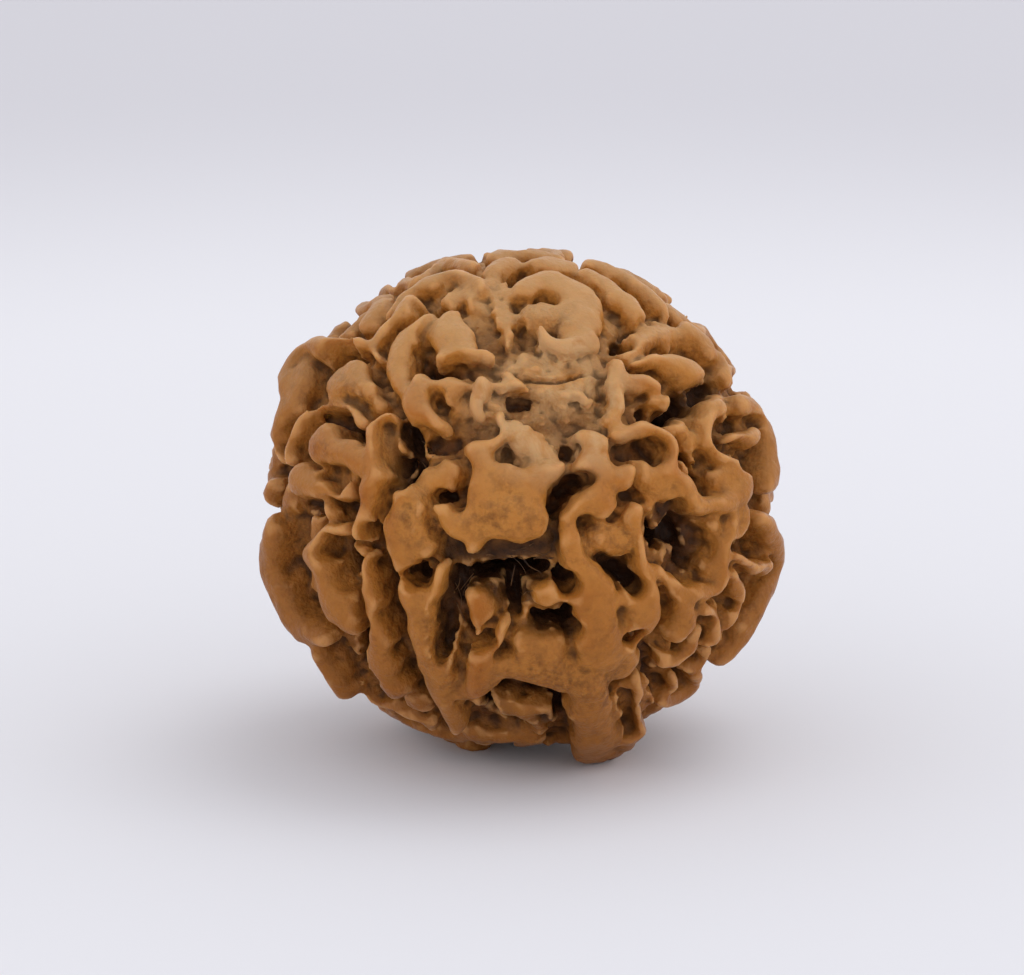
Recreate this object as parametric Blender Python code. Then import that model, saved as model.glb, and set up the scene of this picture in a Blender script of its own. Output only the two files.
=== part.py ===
"""A rudraksha seed: one hard, woody ball, raised all over into blunt lobes with deep crevices between.

The lobes of the near side are drawn by hand on a flat face, as the seed is seen from the front and a little
above, and carried onto the ball. Those of the far side grow by a rule from a seeded draw. Lengths are in
millimetres until the last step, which brings the mesh to metres.
"""

import math

import bmesh
import bpy
import numpy as np
from mathutils import Vector
from mathutils.bvhtree import BVHTree

NODE = "rudraksha_seed"
MM = 0.001

# The whole seed. Its middle is the origin until it is set down on its three feet.
FACE_TILT = math.radians(14.0)  # the drawn face leans back by this angle from upright
MIDDLE_HEIGHT = 12.4  # the seed's middle above the surface it rests on
MIDDLE_ASIDE = (-0.074, -0.207)  # and beside the middle of its bounding box
FLOOR_LEVEL = 11.75  # radius of the ground between the lobes
FLOOR_SWELL = 0.2
GROUND_ROUGHNESS = 0.07
PIT_MOUTH = 12.3  # radius at which the holes have their drawn width
PIT_SLOPE = 5.0
PIT_RIM_REACH = (7.0, 10.0)  # from and to this far out, the holes are drawn at the lobes' level instead
LOBE_EDGE = 0.6  # rounding of a lobe's rim
PAD_EDGE = 0.8
WALL_SLOPE = 6.0  # fall of a lobe's wall for each millimetre outwards
CROWN = 0.18  # rise of a lobe's top towards its middle, for each millimetre
CROWN_REACH = 1.2
ARM_BLEND = 0.6
LOBE_BLEND = 0.3
PIT_BLEND = 0.25
WANDER = 0.12  # how far the outlines wander from the drawn ones
CORNER_CUTS = 2  # how many times the corners of an arm's route are cut off
SOFTENING = 0.08  # how far the finished relief is smoothed
SAMPLES_PER_SIDE = 108
TRIANGLES = 11600
RELAX_ROUNDS = 12
FOOT_SNAP = 0.04  # what ends up this near the lowest level belongs to a foot's flat

# Lobes of the near side: (top radius, arms). An arm's points are (across, up, half width) on the drawn face.
LOBES = {
    # the crown, at the top edge
    "crown_left_back": (12.75, [[(-1.3, 11.6, 0.75), (-0.5, 11.9, 0.85)]]),
    "crown_right_back": (12.75, [[(0.95, 11.9, 0.8), (2.2, 11.7, 0.95)]]),
    "crown_ridge_back": (12.95, [[(3.6, 11.9, 0.7), (5.0, 11.4, 0.7), (6.4, 10.4, 0.7), (7.3, 9.6, 0.6)]]),
    "crown_bean": (13.0, [[(3.4, 11.4, 0.6), (4.4, 10.7, 0.8), (5.4, 9.9, 0.85), (5.8, 9.4, 0.75)]]),
    "crown_dome": (12.95, [[(0.2, 10.6, 0.8), (1.5, 11.1, 0.95), (2.6, 10.6, 1.2), (3.1, 9.6, 1.35),
                            (2.9, 8.5, 1.2)]]),
    "crown_lip": (13.3, [[(1.15, 8.75, 0.3), (1.3, 8.2, 0.45), (1.9, 7.8, 0.6), (2.7, 7.75, 0.65),
                          (3.5, 8.1, 0.6)]]),
    "crown_rib_left": (12.6, [[(-1.6, 11.2, 0.4), (-1.5, 10.2, 0.3), (-1.1, 8.9, 0.25), (-0.5, 7.9, 0.2)]]),
    "crown_rib_right": (12.65, [[(-0.8, 10.9, 0.35), (-0.6, 9.6, 0.25), (-0.35, 8.3, 0.2)]]),
    "left_arch": (12.95, [[(-1.9, 10.7, 0.5), (-2.6, 11.2, 0.6), (-3.8, 11.2, 0.7), (-4.7, 10.9, 0.75),
                          (-5.7, 10.3, 0.65), (-6.5, 9.4, 0.4)]]),
    "left_arch_back": (12.75, [[(-3.5, 12.0, 0.55), (-2.4, 11.8, 0.55)]]),
    "left_bump_back": (12.9, [[(-7.0, 9.8, 0.8), (-7.5, 9.1, 0.9)]]),
    "left_limb": (13.2, [[(-5.5, 10.0, 0.65), (-6.1, 9.3, 0.6), (-6.9, 8.3, 0.42), (-7.5, 7.6, 0.5),
                          (-7.2, 7.1, 0.35)]]),
    # the left shoulder
    "shoulder_ridge": (13.85, [[(-8.1, 8.1, 0.35), (-9.6, 8.0, 0.45), (-10.9, 7.7, 0.65), (-11.7, 6.8, 0.7),
                                (-11.9, 5.8, 0.7)]]),
    "shoulder_slab": (13.45, [[(-11.0, 6.4, 1.0), (-11.5, 5.1, 1.1), (-12.2, 3.7, 0.8)]]),
    "nose": (13.4, [[(-8.4, 6.6, 0.6), (-8.9, 5.9, 0.9), (-9.4, 5.6, 0.65)],
                    [(-8.6, 6.0, 0.9), (-7.7, 5.5, 0.7)]]),
    "brow": (13.05, [[(-4.6, 9.3, 0.45), (-5.4, 8.4, 0.75), (-6.1, 7.5, 0.85), (-6.1, 6.3, 0.8),
                      (-5.9, 5.3, 0.5)]]),
    "cheek": (12.95, [[(-3.6, 9.2, 0.55), (-3.9, 8.7, 0.8), (-3.8, 8.0, 1.0), (-3.1, 7.5, 0.8)],
                      [(-3.2, 8.5, 0.7), (-2.9, 7.8, 0.7)]]),
    "cheek_lip": (13.15, [[(-3.9, 7.1, 0.5), (-3.0, 7.2, 0.5), (-2.4, 7.35, 0.35), (-1.8, 7.4, 0.5),
                           (-1.6, 7.2, 0.4)]]),
    "mitten": (13.4, [[(-5.1, 6.0, 0.55), (-5.4, 5.0, 0.85), (-5.1, 4.5, 0.7), (-4.2, 3.9, 0.55),
                       (-4.1, 3.4, 0.4)]]),
    "bar": (13.1, [[(-4.7, 5.7, 0.4), (-3.5, 5.7, 0.4), (-2.1, 5.7, 0.3), (-0.9, 5.6, 0.32),
                    (-0.2, 5.8, 0.38), (0.3, 5.5, 0.3)],
                   [(-3.5, 5.8, 0.5), (-3.5, 5.2, 0.5)], [(-0.2, 5.9, 0.3), (-0.6, 6.4, 0.25)]]),
    "bead": (13.5, [[(-2.05, 6.1, 0.42), (-2.05, 5.3, 0.52), (-2.15, 4.6, 0.42)]]),
    "curl": (13.45, [[(-7.9, 3.7, 0.35), (-8.2, 4.4, 0.35), (-9.1, 4.85, 0.35), (-10.2, 4.6, 0.35),
                      (-11.1, 3.8, 0.35), (-11.7, 2.8, 0.35), (-11.7, 2.0, 0.35)]]),
    "curl_outer": (13.35, [[(-12.1, 3.6, 0.3), (-12.3, 2.6, 0.3), (-12.1, 1.9, 0.25)]]),
    "egg": (13.75, [[(-9.9, 2.85, 1.15), (-9.0, 2.4, 0.9), (-7.9, 1.9, 0.85)]]),
    "block": (13.45, [[(-11.2, 1.0, 0.9), (-10.0, 0.85, 0.8), (-8.6, 0.55, 0.6)]]),
    "neck_knob": (13.1, [[(-9.6, -0.3, 0.55), (-9.4, -0.9, 0.4)]]),
    "finger": (13.8, [[(-6.95, 3.3, 1.05), (-7.25, 2.2, 0.8), (-7.4, 0.9, 0.62), (-7.7, -0.5, 0.65),
                       (-8.05, -1.4, 0.75)]]),
    "left_edge_low": (13.2, [[(-12.6, 0.9, 0.35), (-12.8, 0.2, 0.5)]]),
    # the left flank
    "flank": (13.6, [[(-12.5, -1.6, 0.8), (-12.8, -3.0, 1.0), (-12.2, -4.9, 1.2), (-11.3, -6.5, 1.1),
                      (-10.0, -7.1, 0.5)]]),
    "ear": (13.6, [[(-8.9, -1.5, 0.3), (-9.8, -1.7, 0.4), (-10.4, -2.6, 0.95), (-10.0, -3.9, 0.6),
                    (-9.3, -5.2, 1.25), (-8.8, -6.0, 0.95)]]),
    "post": (13.4, [[(-7.6, -3.2, 0.42), (-7.5, -4.6, 0.75), (-7.35, -5.5, 0.65), (-7.2, -6.3, 0.42),
                     (-7.1, -7.5, 0.85), (-6.9, -8.8, 0.95), (-6.2, -9.7, 0.7)]]),
    "pillar": (13.6, [[(-10.3, -7.6, 0.5), (-9.6, -8.8, 0.75), (-9.1, -9.7, 0.7)]]),
    "skirt": (12.75, [[(-8.1, -9.3, 0.4), (-7.5, -10.1, 0.4), (-6.1, -10.6, 0.4), (-4.9, -11.0, 0.5),
                       (-4.4, -11.5, 0.45)]]),
    # the middle
    "star": (13.45, [[(-2.1, 2.4, 0.6), (-2.0, 1.2, 0.6), (-1.7, 0.0, 1.1), (-1.0, -0.6, 1.4),
                      (0.1, -0.8, 1.3)],
                     [(-0.8, 1.0, 1.0), (0.6, 1.1, 0.9), (2.2, 1.75, 0.3)],
                     [(0.4, 0.6, 0.9), (0.3, -1.3, 0.7)],
                     [(-2.2, -1.0, 0.9), (-3.6, -1.3, 0.65), (-4.0, -0.4, 0.33)],
                     [(-2.3, -1.7, 0.5), (-2.4, -2.4, 0.35)],
                     [(-2.2, 2.5, 0.5), (-1.3, 2.8, 0.35), (-0.7, 3.5, 0.28), (-1.0, 4.3, 0.2)]]),
    "cross": (13.5, [[(3.6, 2.9, 0.95), (3.7, 1.6, 0.85), (3.9, 0.5, 1.0), (4.2, -0.3, 0.75)],
                     [(4.2, 1.1, 0.7), (5.5, 1.2, 0.48)],
                     [(3.6, 0.1, 0.5), (2.6, -0.5, 0.55)]]),
    "panel": (13.4, [[(2.4, -0.9, 0.5), (2.5, -2.3, 0.65), (3.1, -3.6, 0.8), (3.8, -4.8, 1.2),
                      (4.0, -6.3, 1.25), (4.1, -7.8, 1.3)]]),
    "panel_knob": (13.3, [[(2.7, -5.0, 0.3), (2.0, -4.85, 0.33), (1.25, -4.65, 0.75)]]),
    "apron": (13.15, [[(4.3, -8.2, 1.2), (2.4, -9.0, 1.15), (0.6, -8.4, 0.9), (-0.6, -8.3, 0.95),
                       (-1.9, -8.9, 1.0), (-2.9, -9.5, 0.9)],
                      [(2.0, -8.2, 0.9), (0.6, -7.8, 0.8)],
                      [(5.3, -7.7, 0.7), (5.7, -8.2, 0.7), (4.7, -8.5, 0.7)]]),
    "apron_knob": (13.55, [[(-1.9, -7.5, 0.75), (-1.9, -8.5, 0.8), (-2.3, -9.4, 0.8)],
                           [(-1.1, -7.1, 0.4), (-0.95, -6.4, 0.28)]]),
    "band": (13.45, [[(-5.9, 0.5, 0.35), (-6.2, -0.8, 0.65), (-6.1, -2.2, 0.75), (-5.6, -3.75, 0.6),
                      (-5.5, -5.25, 0.65), (-5.0, -6.75, 0.9), (-4.3, -8.2, 1.0), (-3.9, -9.6, 0.85),
                      (-3.45, -10.8, 0.65), (-3.3, -11.6, 0.5)],
                     [(-5.9, 0.3, 0.4), (-5.1, 0.2, 0.4), (-5.2, -1.4, 0.7)],
                     [(-6.0, -2.3, 0.6), (-4.9, -2.5, 0.55)],
                     [(-3.9, -3.4, 0.33), (-4.1, -4.4, 0.42), (-4.7, -5.5, 0.5)]]),
    "tongue": (13.05, [[(-2.1, -4.9, 0.75), (-1.95, -5.5, 0.78), (-2.0, -6.2, 0.35)]]),
    "sliver": (12.6, [[(-1.2, -5.7, 0.2), (-0.5, -5.95, 0.18)]]),
    # the right side
    "thorn": (13.15, [[(4.8, 6.8, 0.45), (4.9, 5.4, 0.5), (4.75, 4.0, 0.5)],
                      [(4.9, 6.2, 0.5), (6.0, 5.8, 0.55), (6.8, 5.7, 0.42)]]),
    "thorn_knob": (12.85, [[(6.7, 4.9, 0.35), (7.4, 5.05, 0.42)]]),
    "wave": (13.4, [[(4.8, 3.3, 0.35), (5.6, 3.7, 0.5), (6.6, 3.5, 0.5), (7.5, 2.9, 0.6), (7.8, 2.2, 0.5),
                     (7.2, 1.5, 0.4)],
                    [(7.5, 1.5, 0.5), (8.1, 0.8, 0.55), (8.8, 0.0, 0.6), (9.8, -0.4, 0.6), (10.9, 0.0, 0.7),
                     (11.5, 0.9, 0.85), (11.0, 1.7, 0.8)]]),
    "wave_foot": (12.95, [[(6.4, 1.3, 0.7), (7.2, 0.8, 0.8), (8.0, 0.0, 0.5)]]),
    "s_rib": (13.3, [[(9.4, 4.9, 0.5), (10.1, 4.7, 0.7), (9.7, 4.2, 0.5), (9.3, 3.4, 0.3), (9.5, 2.7, 0.3),
                      (10.2, 2.15, 0.35), (11.2, 1.9, 0.45)]]),
    "right_brow": (13.1, [[(5.6, 6.8, 0.22), (6.6, 7.1, 0.4), (7.8, 6.9, 0.7), (8.8, 6.3, 1.0),
                           (9.2, 5.7, 0.7)]]),
    "right_back_upper": (13.1, [[(8.4, 8.6, 0.7), (9.2, 8.1, 0.9), (9.5, 7.6, 0.7)]]),
    "right_back_lower": (13.0, [[(10.0, 7.2, 0.6), (10.4, 6.2, 0.65)]]),
    "right_ring": (13.35, [[(11.2, 4.9, 0.6), (12.0, 4.4, 0.8), (12.5, 3.3, 0.9), (12.7, 2.0, 0.9),
                            (12.6, 1.0, 0.8)],
                           [(10.7, 3.1, 0.3), (11.9, 3.3, 0.5)]]),
    "right_flank": (13.6, [[(12.2, -0.9, 0.5), (12.8, -1.6, 0.65), (13.1, -2.6, 0.75), (12.9, -3.8, 0.75),
                            (12.3, -5.0, 0.85), (11.7, -6.2, 0.85), (10.9, -7.4, 0.75), (10.4, -8.0, 0.6)],
                           [(10.8, -2.85, 0.35), (11.6, -3.1, 0.5), (12.5, -3.4, 0.6)]]),
    "bowl_rim": (13.3, [[(10.9, -0.4, 0.4), (10.6, -1.5, 0.45), (10.2, -2.6, 0.45), (10.2, -3.8, 0.5),
                         (9.9, -4.5, 0.55), (9.1, -4.9, 0.5), (8.1, -4.4, 0.4), (7.3, -3.9, 0.35),
                         (6.9, -3.5, 0.35)],
                        [(11.2, -0.6, 0.45), (11.25, -1.4, 0.5), (10.8, -1.8, 0.4)]]),
    "knob_right": (13.25, [[(5.65, -0.7, 0.62), (5.75, -1.7, 0.45), (6.1, -2.8, 0.5), (6.4, -3.8, 0.6)]]),
    "knuckles_right": (13.45, [[(6.3, -4.2, 0.65), (6.4, -5.4, 1.1), (6.2, -6.1, 1.05), (5.6, -7.1, 0.7)],
                               [(6.2, -4.6, 0.6), (5.3, -5.1, 0.5)]]),
    "fold_right": (13.3, [[(7.3, -4.5, 0.3), (8.3, -5.2, 0.75), (8.5, -6.0, 0.8), (8.0, -6.7, 0.7)]]),
    "fold_low": (13.1, [[(8.9, -6.4, 0.35), (8.75, -7.4, 0.5), (8.0, -8.1, 0.5), (7.1, -8.2, 0.4)]]),
    "fold_lowest": (12.95, [[(9.4, -7.6, 0.4), (9.3, -8.2, 0.4), (8.5, -8.7, 0.4)]]),
    "fold_small": (13.4, [[(9.2, -5.5, 0.35), (9.8, -6.1, 0.5), (9.9, -6.9, 0.5), (9.5, -7.3, 0.4)]]),
    "fold_outer": (13.45, [[(10.7, -3.7, 0.4), (11.2, -4.6, 0.55), (10.9, -5.7, 0.55), (10.5, -6.4, 0.4)]]),
    "under_right": (13.1, [[(8.9, -8.9, 0.6), (8.8, -9.5, 0.5), (7.9, -10.1, 0.65), (7.1, -10.2, 0.5)],
                           [(8.0, -9.0, 0.3), (7.75, -9.6, 0.28)]]),
    # the feet
    "foot_front": (13.6, [[(3.6, -9.4, 1.0), (3.65, -10.8, 1.1), (3.8, -11.9, 1.15), (4.8, -12.0, 1.0),
                           (5.8, -11.7, 0.9), (6.4, -11.0, 0.6), (6.7, -9.8, 0.4)]]),
    "foot_rib": (13.45, [[(5.9, -9.2, 0.28), (5.9, -11.2, 0.3)], [(4.9, -10.0, 0.2), (4.9, -11.2, 0.2)]]),
    "under_middle": (12.6, [[(-0.3, -9.8, 0.6), (0.4, -10.6, 0.6), (1.2, -11.6, 0.45)]]),
}

# Lower, rougher ground between the lobes, given in the same way.
PADS = {
    "stem_scar": (12.15, [[(0.4, 6.7, 1.1), (1.4, 6.0, 1.6), (2.6, 5.6, 1.4), (3.4, 6.8, 1.0)]]),
    "rib_bed": (12.3, [[(-1.4, 10.8, 0.8), (-0.9, 9.6, 0.8), (-0.5, 8.4, 0.6)]]),
    "stem_tab": (12.7, [[(2.1, 5.5, 0.45), (2.9, 5.2, 0.55), (3.4, 5.0, 0.35)]]),
    "star_slope": (13.0, [[(-0.1, 3.3, 0.9), (0.6, 2.6, 1.0), (1.6, 2.1, 0.5)]]),
    "crown_dish": (12.75, [[(0.6, 9.3, 1.0), (2.0, 9.2, 1.1)]]),
    "arch_slope": (12.6, [[(-2.7, 10.4, 0.8), (-2.5, 9.8, 0.7)]]),
    "right_slope": (12.6, [[(5.4, 7.2, 0.7), (6.4, 8.2, 0.9), (7.4, 8.5, 1.0), (8.6, 7.9, 0.9)]]),
    "ear_shelf": (12.9, [[(-9.0, -4.1, 0.8), (-8.6, -5.2, 0.8)]]),
    "cheek_shelf": (12.65, [[(-3.7, 1.3, 1.0), (-4.3, 1.1, 0.8), (-4.7, 0.2, 0.8), (-4.6, -1.4, 0.8)]]),
    "nose_web": (12.9, [[(-7.6, 5.4, 0.9), (-7.0, 4.7, 0.7)]]),
    "band_shelf": (12.6, [[(-4.2, -6.2, 0.9), (-3.6, -7.6, 0.9), (-3.2, -8.6, 0.8)]]),
    "apron_shelf": (12.9, [[(0.4, -7.3, 1.1), (1.8, -7.5, 1.0)]]),
    "panel_shelf": (12.75, [[(3.9, -1.9, 1.1), (4.9, -1.9, 0.9), (5.2, -2.4, 0.6)]]),
    "wave_shelf": (12.5, [[(5.9, 1.6, 0.9), (6.7, 0.3, 0.9), (6.2, -0.3, 0.6)]]),
    "plate_right": (13.15, [[(10.4, 1.0, 0.9), (10.9, 0.6, 0.9)]]),
    "rib_ground": (12.7, [[(7.9, 3.6, 0.6), (8.5, 3.3, 0.6), (8.6, 2.6, 0.5)]]),
    "bowl_wall": (12.7, [[(9.7, -0.9, 0.7), (9.5, -2.4, 0.7), (9.4, -3.9, 0.7)]]),
    "fold_shelf": (12.9, [[(7.9, -5.6, 0.8), (7.8, -6.6, 0.8), (7.3, -7.7, 0.6)],
                          [(9.6, -5.4, 0.6), (10.0, -6.9, 0.6)]]),
    "foot_web": (12.9, [[(5.4, -9.3, 0.8), (5.4, -10.8, 0.8)]]),
    "under_web": (11.8, [[(-1.0, -10.4, 1.0), (0.4, -10.8, 1.0)]]),
    "bead_ground": (12.3, [[(-2.9, 4.5, 0.8), (-1.4, 4.4, 0.9)]]),
    "basin_shelf": (11.6, [[(-2.4, -2.9, 0.5), (0.4, -2.9, 0.6)]]),
}

# Holes that go deeper than the ground: (bottom radius, route).
PITS = {
    "stem_hole": (8.8, [(-0.6, 5.0, 0.25), (0.0, 4.85, 0.35), (0.5, 5.0, 0.2)]),
    "basin": (9.8, [(-2.4, -3.6, 0.5), (-0.8, -3.6, 0.7), (0.8, -3.5, 0.6)]),
    "basin_tail": (9.8, [(-0.5, -4.0, 0.7), (-0.2, -5.6, 0.4)]),
    "basin_left": (10.4, [(-3.1, -4.3, 0.35), (-3.1, -5.2, 0.3)]),
    "basin_corner": (9.4, [(2.1, -3.7, 0.45), (2.25, -4.0, 0.45)]),
    "basin_right": (9.4, [(0.8, -5.8, 0.3), (1.6, -6.0, 0.5), (2.3, -6.0, 0.6)]),
    "tongue_moat": (9.8, [(-2.8, -5.7, 0.25), (-2.5, -6.5, 0.3), (-1.9, -6.75, 0.25), (-1.4, -6.4, 0.25)]),
    "star_gap": (9.6, [(2.9, 1.0, 0.35), (2.2, 0.4, 0.5), (1.6, -0.3, 0.35)]),
    "panel_seam": (11.2, [(1.6, -0.8, 0.12), (1.7, -2.6, 0.15)]),
    "star_hole": (10.2, [(-3.6, 0.2, 0.4)]),
    "cross_pit": (10.8, [(2.25, 2.5, 0.3), (2.4, 2.2, 0.25)]),
    "left_cleft": (9.8, [(-6.9, -1.2, 0.25), (-6.85, -2.4, 0.3), (-6.4, -3.8, 0.3), (-6.25, -5.4, 0.3),
                         (-5.9, -7.2, 0.3), (-5.2, -9.0, 0.35), (-4.6, -10.2, 0.35)]),
    "ear_hole": (9.6, [(-9.0, -2.5, 0.4), (-8.6, -3.0, 0.65), (-8.2, -3.2, 0.6)]),
    "ear_side": (11.6, [(-9.5, -2.7, 0.4), (-9.2, -2.2, 0.4)]),
    "band_hole": (10.6, [(-4.95, -3.6, 0.5)]),
    "band_hollow": (11.2, [(-3.6, -5.3, 0.3), (-3.6, -6.4, 0.35), (-3.8, -7.4, 0.25)]),
    "valley_left": (9.6, [(-5.4, 3.4, 0.4), (-5.0, 2.4, 0.3), (-5.2, 1.3, 0.35), (-5.5, 0.9, 0.3)]),
    "valley_middle": (11.2, [(-4.3, 2.7, 0.45), (-3.1, 2.9, 0.35)]),
    "cheek_gap": (9.6, [(-5.15, 7.6, 0.22), (-4.95, 6.7, 0.35), (-4.4, 6.35, 0.4), (-3.0, 6.35, 0.25),
                        (-1.8, 6.4, 0.15)]),
    "shoulder_hole": (9.4, [(-10.0, 6.35, 0.35), (-9.25, 7.15, 0.6), (-8.45, 7.6, 0.4)]),
    "curl_hole": (10.4, [(-10.2, 4.2, 0.2), (-9.4, 4.4, 0.3), (-8.7, 3.9, 0.4), (-8.3, 3.5, 0.25)]),
    "arch_hole": (10.0, [(-5.0, 9.8, 0.45), (-4.3, 10.0, 0.45)]),
    "block_shade": (12.3, [(-9.6, 1.3, 0.2), (-8.7, 0.9, 0.35)]),
    "block_hole": (10.4, [(-11.6, -0.3, 0.22), (-10.5, -0.5, 0.32)]),
    "crown_hole": (10.4, [(5.3, 8.1, 0.55)]),
    "crown_corner": (11.4, [(0.1, 8.9, 0.2), (0.15, 8.5, 0.22)]),
    "right_slot": (9.2, [(7.0, 3.8, 0.35), (8.0, 4.5, 0.45), (8.8, 4.9, 0.5)]),
    "thorn_hole": (10.6, [(6.3, 4.45, 0.3)]),
    "brow_dent": (12.4, [(7.1, 6.1, 0.15), (7.8, 6.2, 0.3)]),
    "ring_hole": (10.0, [(10.1, 3.7, 0.28), (10.4, 4.1, 0.3)]),
    "ring_crease": (12.4, [(10.9, 3.9, 0.2), (11.9, 4.0, 0.1)]),
    "ring_fold": (11.8, [(10.6, 2.6, 0.3), (11.5, 2.6, 0.15)]),
    "ring_hollow": (10.8, [(8.6, 2.2, 0.35), (8.9, 1.4, 0.4), (9.4, 1.0, 0.4)]),
    "wave_hollow": (11.3, [(4.9, 2.5, 0.3), (5.7, 2.3, 0.55), (6.5, 2.4, 0.45)]),
    "bowl": (9.6, [(6.6, -1.2, 0.35), (7.2, -2.2, 0.75), (8.0, -1.9, 0.6)]),
    "bowl_dish": (11.4, [(7.6, -0.7, 0.7), (8.5, -1.9, 0.9), (8.3, -3.3, 0.8)]),
    "panel_slot": (9.8, [(3.9, -3.0, 0.2), (4.8, -3.4, 0.35), (5.5, -4.0, 0.38)]),
    "panel_pit": (10.8, [(5.3, -6.4, 0.3), (5.6, -6.6, 0.3)]),
    "flank_slot": (10.6, [(10.6, -2.35, 0.18), (11.5, -2.5, 0.28), (12.2, -2.8, 0.12)]),
    "flank_fold": (12.9, [(11.3, -4.0, 0.3), (11.9, -4.4, 0.12)]),
    "fold_cleft": (10.8, [(6.9, -4.4, 0.15), (7.5, -5.2, 0.2), (7.4, -6.2, 0.15), (6.9, -7.0, 0.2)]),
    "low_cleft": (11.0, [(6.5, -7.4, 0.2), (6.8, -8.8, 0.25), (6.9, -10.0, 0.2)]),
    "low_dent": (12.0, [(7.0, -7.6, 0.3), (7.7, -7.6, 0.25)]),
    "small_dent": (12.4, [(9.1, -6.0, 0.2), (9.3, -6.2, 0.2)]),
    "outer_dent": (12.5, [(10.3, -5.0, 0.25), (10.7, -5.2, 0.2)]),
    "pillar_hole": (9.6, [(-8.5, -7.0, 0.45), (-8.45, -8.2, 0.5), (-8.5, -9.0, 0.3)]),
    "foot_gap": (9.4, [(2.1, -10.5, 0.3), (2.2, -11.8, 0.35)]),
    "foot_groove": (12.5, [(5.3, -9.8, 0.25), (5.4, -11.2, 0.2)]),
    "foot_dent": (12.7, [(6.3, -9.4, 0.2), (6.3, -11.0, 0.2)]),
    "under_gap": (9.8, [(-1.8, -10.6, 0.3), (-1.2, -11.6, 0.5), (-0.2, -12.0, 0.4)]),
    "post_pit": (12.4, [(-7.25, -8.6, 0.22)]),
}

# Clefts over the edge of the drawn face: (bottom radius, across, up, half width) where they cross it.
EDGE_CLEFTS = {
    "edge_left_upper": (11.9, -8.2, 9.0, 0.3),
    "edge_left": (11.9, -13.0, -0.6, 0.35),
    "edge_left_top": (12.2, -6.3, 11.2, 0.3),
    "edge_top_left": (12.3, -2.1, 12.2, 0.2),
    "edge_top": (12.4, 0.3, 12.6, 0.15),
    "edge_top_right": (11.8, 3.0, 12.2, 0.3),
    "edge_right_upper": (11.7, 7.9, 9.6, 0.35),
    "edge_right_top": (11.9, 11.1, 6.0, 0.4),
    "edge_right": (11.8, 12.9, -0.6, 0.35),
    "edge_right_low": (11.8, 10.0, -8.8, 0.4),
    "edge_left_low": (12.0, -7.9, -10.3, 0.5),
    "edge_left_lower": (12.2, -10.9, -7.3, 0.25),
    "edge_under": (10.4, -0.7, -12.6, 0.6),
}
CLEFT_FRONT = 0.12  # how far a cleft reaches before and behind the edge, as a share of the radius
CLEFT_BACK = 0.35

# The three feet: (top radius, arms) with an arm's points as x, y, z and half width. Nothing else touches
# what the seed rests on.
FEET = {
    "foot_front": (13.65, [[(3.7, -8.0, -10.6, 1.1), (3.9, -6.0, -11.9, 1.15), (4.1, -3.9, -12.5, 1.0)],
                           [(5.8, -7.6, -10.3, 0.7), (5.6, -5.5, -11.7, 0.8), (4.9, -3.9, -12.4, 0.8)]]),
    "foot_left": (13.0, [[(-2.3, -1.6, -12.6, 0.95), (-3.3, 0.2, -12.1, 0.7)]]),
    "foot_back": (13.7, [[(-0.6, 5.0, -12.6, 1.0), (1.2, 5.6, -12.0, 0.7)]]),
}
FOOT_BLEND = 0.5
BELLY_CLEARANCE = 0.9  # how far the rest of the underside stays above the level of the feet
BELLY_BLEND = 0.5

# The far side: winding lobes laid through points that keep a distance from each other and from the
# drawn lobes.
FAR_SEED = 11
FAR_SPACING = 2.2
FAR_REACH = 3.6
FAR_MARGIN = 0.75
FAR_START = -0.75  # as a share of the radius, how far behind the face's middle plane the points begin
FAR_TOP = 13.2
FAR_TOP_SWELL = 0.4
FAR_BLEND = 0.15
LIMB_DROP = 0.65  # the lobes at the edge of the drawn face are lower by this
LOBE_STEPS = 4
SIDE_KNOB_CHANCE = 0.35

# Grooves from the stem end to the tip of the seed. Each seam between two of its segments is one of them.
STEM_END = (1.5, 5.2)
CLEFT_MARK = (-6.5, -4.4)  # a point of the drawn cleft, which is one of the grooves
GROOVES = 6
GROOVE_BOTTOM = 10.9
GROOVE_WIDTH = 0.2
GROOVE_WANDER = 0.07
TIP_HOLLOW = (10.6, 0.55)  # bottom radius and half width of the hollow at the tip


def face_direction(across, up, radius):
    """Unit vector from the seed's middle to a point drawn on the face, for a surface of that radius."""
    reach = min(math.hypot(across, up), 0.998 * radius)
    towards = math.sqrt(radius**2 - reach**2)
    scale = reach / max(math.hypot(across, up), 1e-9)
    across, up = across * scale, up * scale
    sine, cosine = math.sin(FACE_TILT), math.cos(FACE_TILT)
    point = np.array([across, up * sine - towards * cosine, up * cosine + towards * sine])
    return point / np.linalg.norm(point)


def eased(arm):
    """The arm with the corners of its route cut off, so that it bends smoothly."""
    for _ in range(CORNER_CUTS if len(arm) > 2 else 0):
        inner = np.stack([0.75 * arm[:-1] + 0.25 * arm[1:], 0.25 * arm[:-1] + 0.75 * arm[1:]], axis=1)
        arm = np.vstack([arm[:1], inner.reshape(-1, 4), arm[-1:]])
    return arm


def face_arm(points, radius):
    """An arm as rows of x, y, z on the unit ball and its half width."""
    return eased(np.array([[*face_direction(across, up, radius), width] for across, up, width in points]))


def pit_arm(route):
    """A hole's route. Near the face's edge it is seen over the rims beside it, and drawn at their level."""
    rows = []
    for across, up, width in route:
        share = (math.hypot(across, up) - PIT_RIM_REACH[0]) / (PIT_RIM_REACH[1] - PIT_RIM_REACH[0])
        level = PIT_MOUTH + min(max(share, 0), 1) * (FAR_TOP - PIT_MOUTH)
        rows.append([*face_direction(across, up, level), width])
    return eased(np.array(rows))


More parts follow.
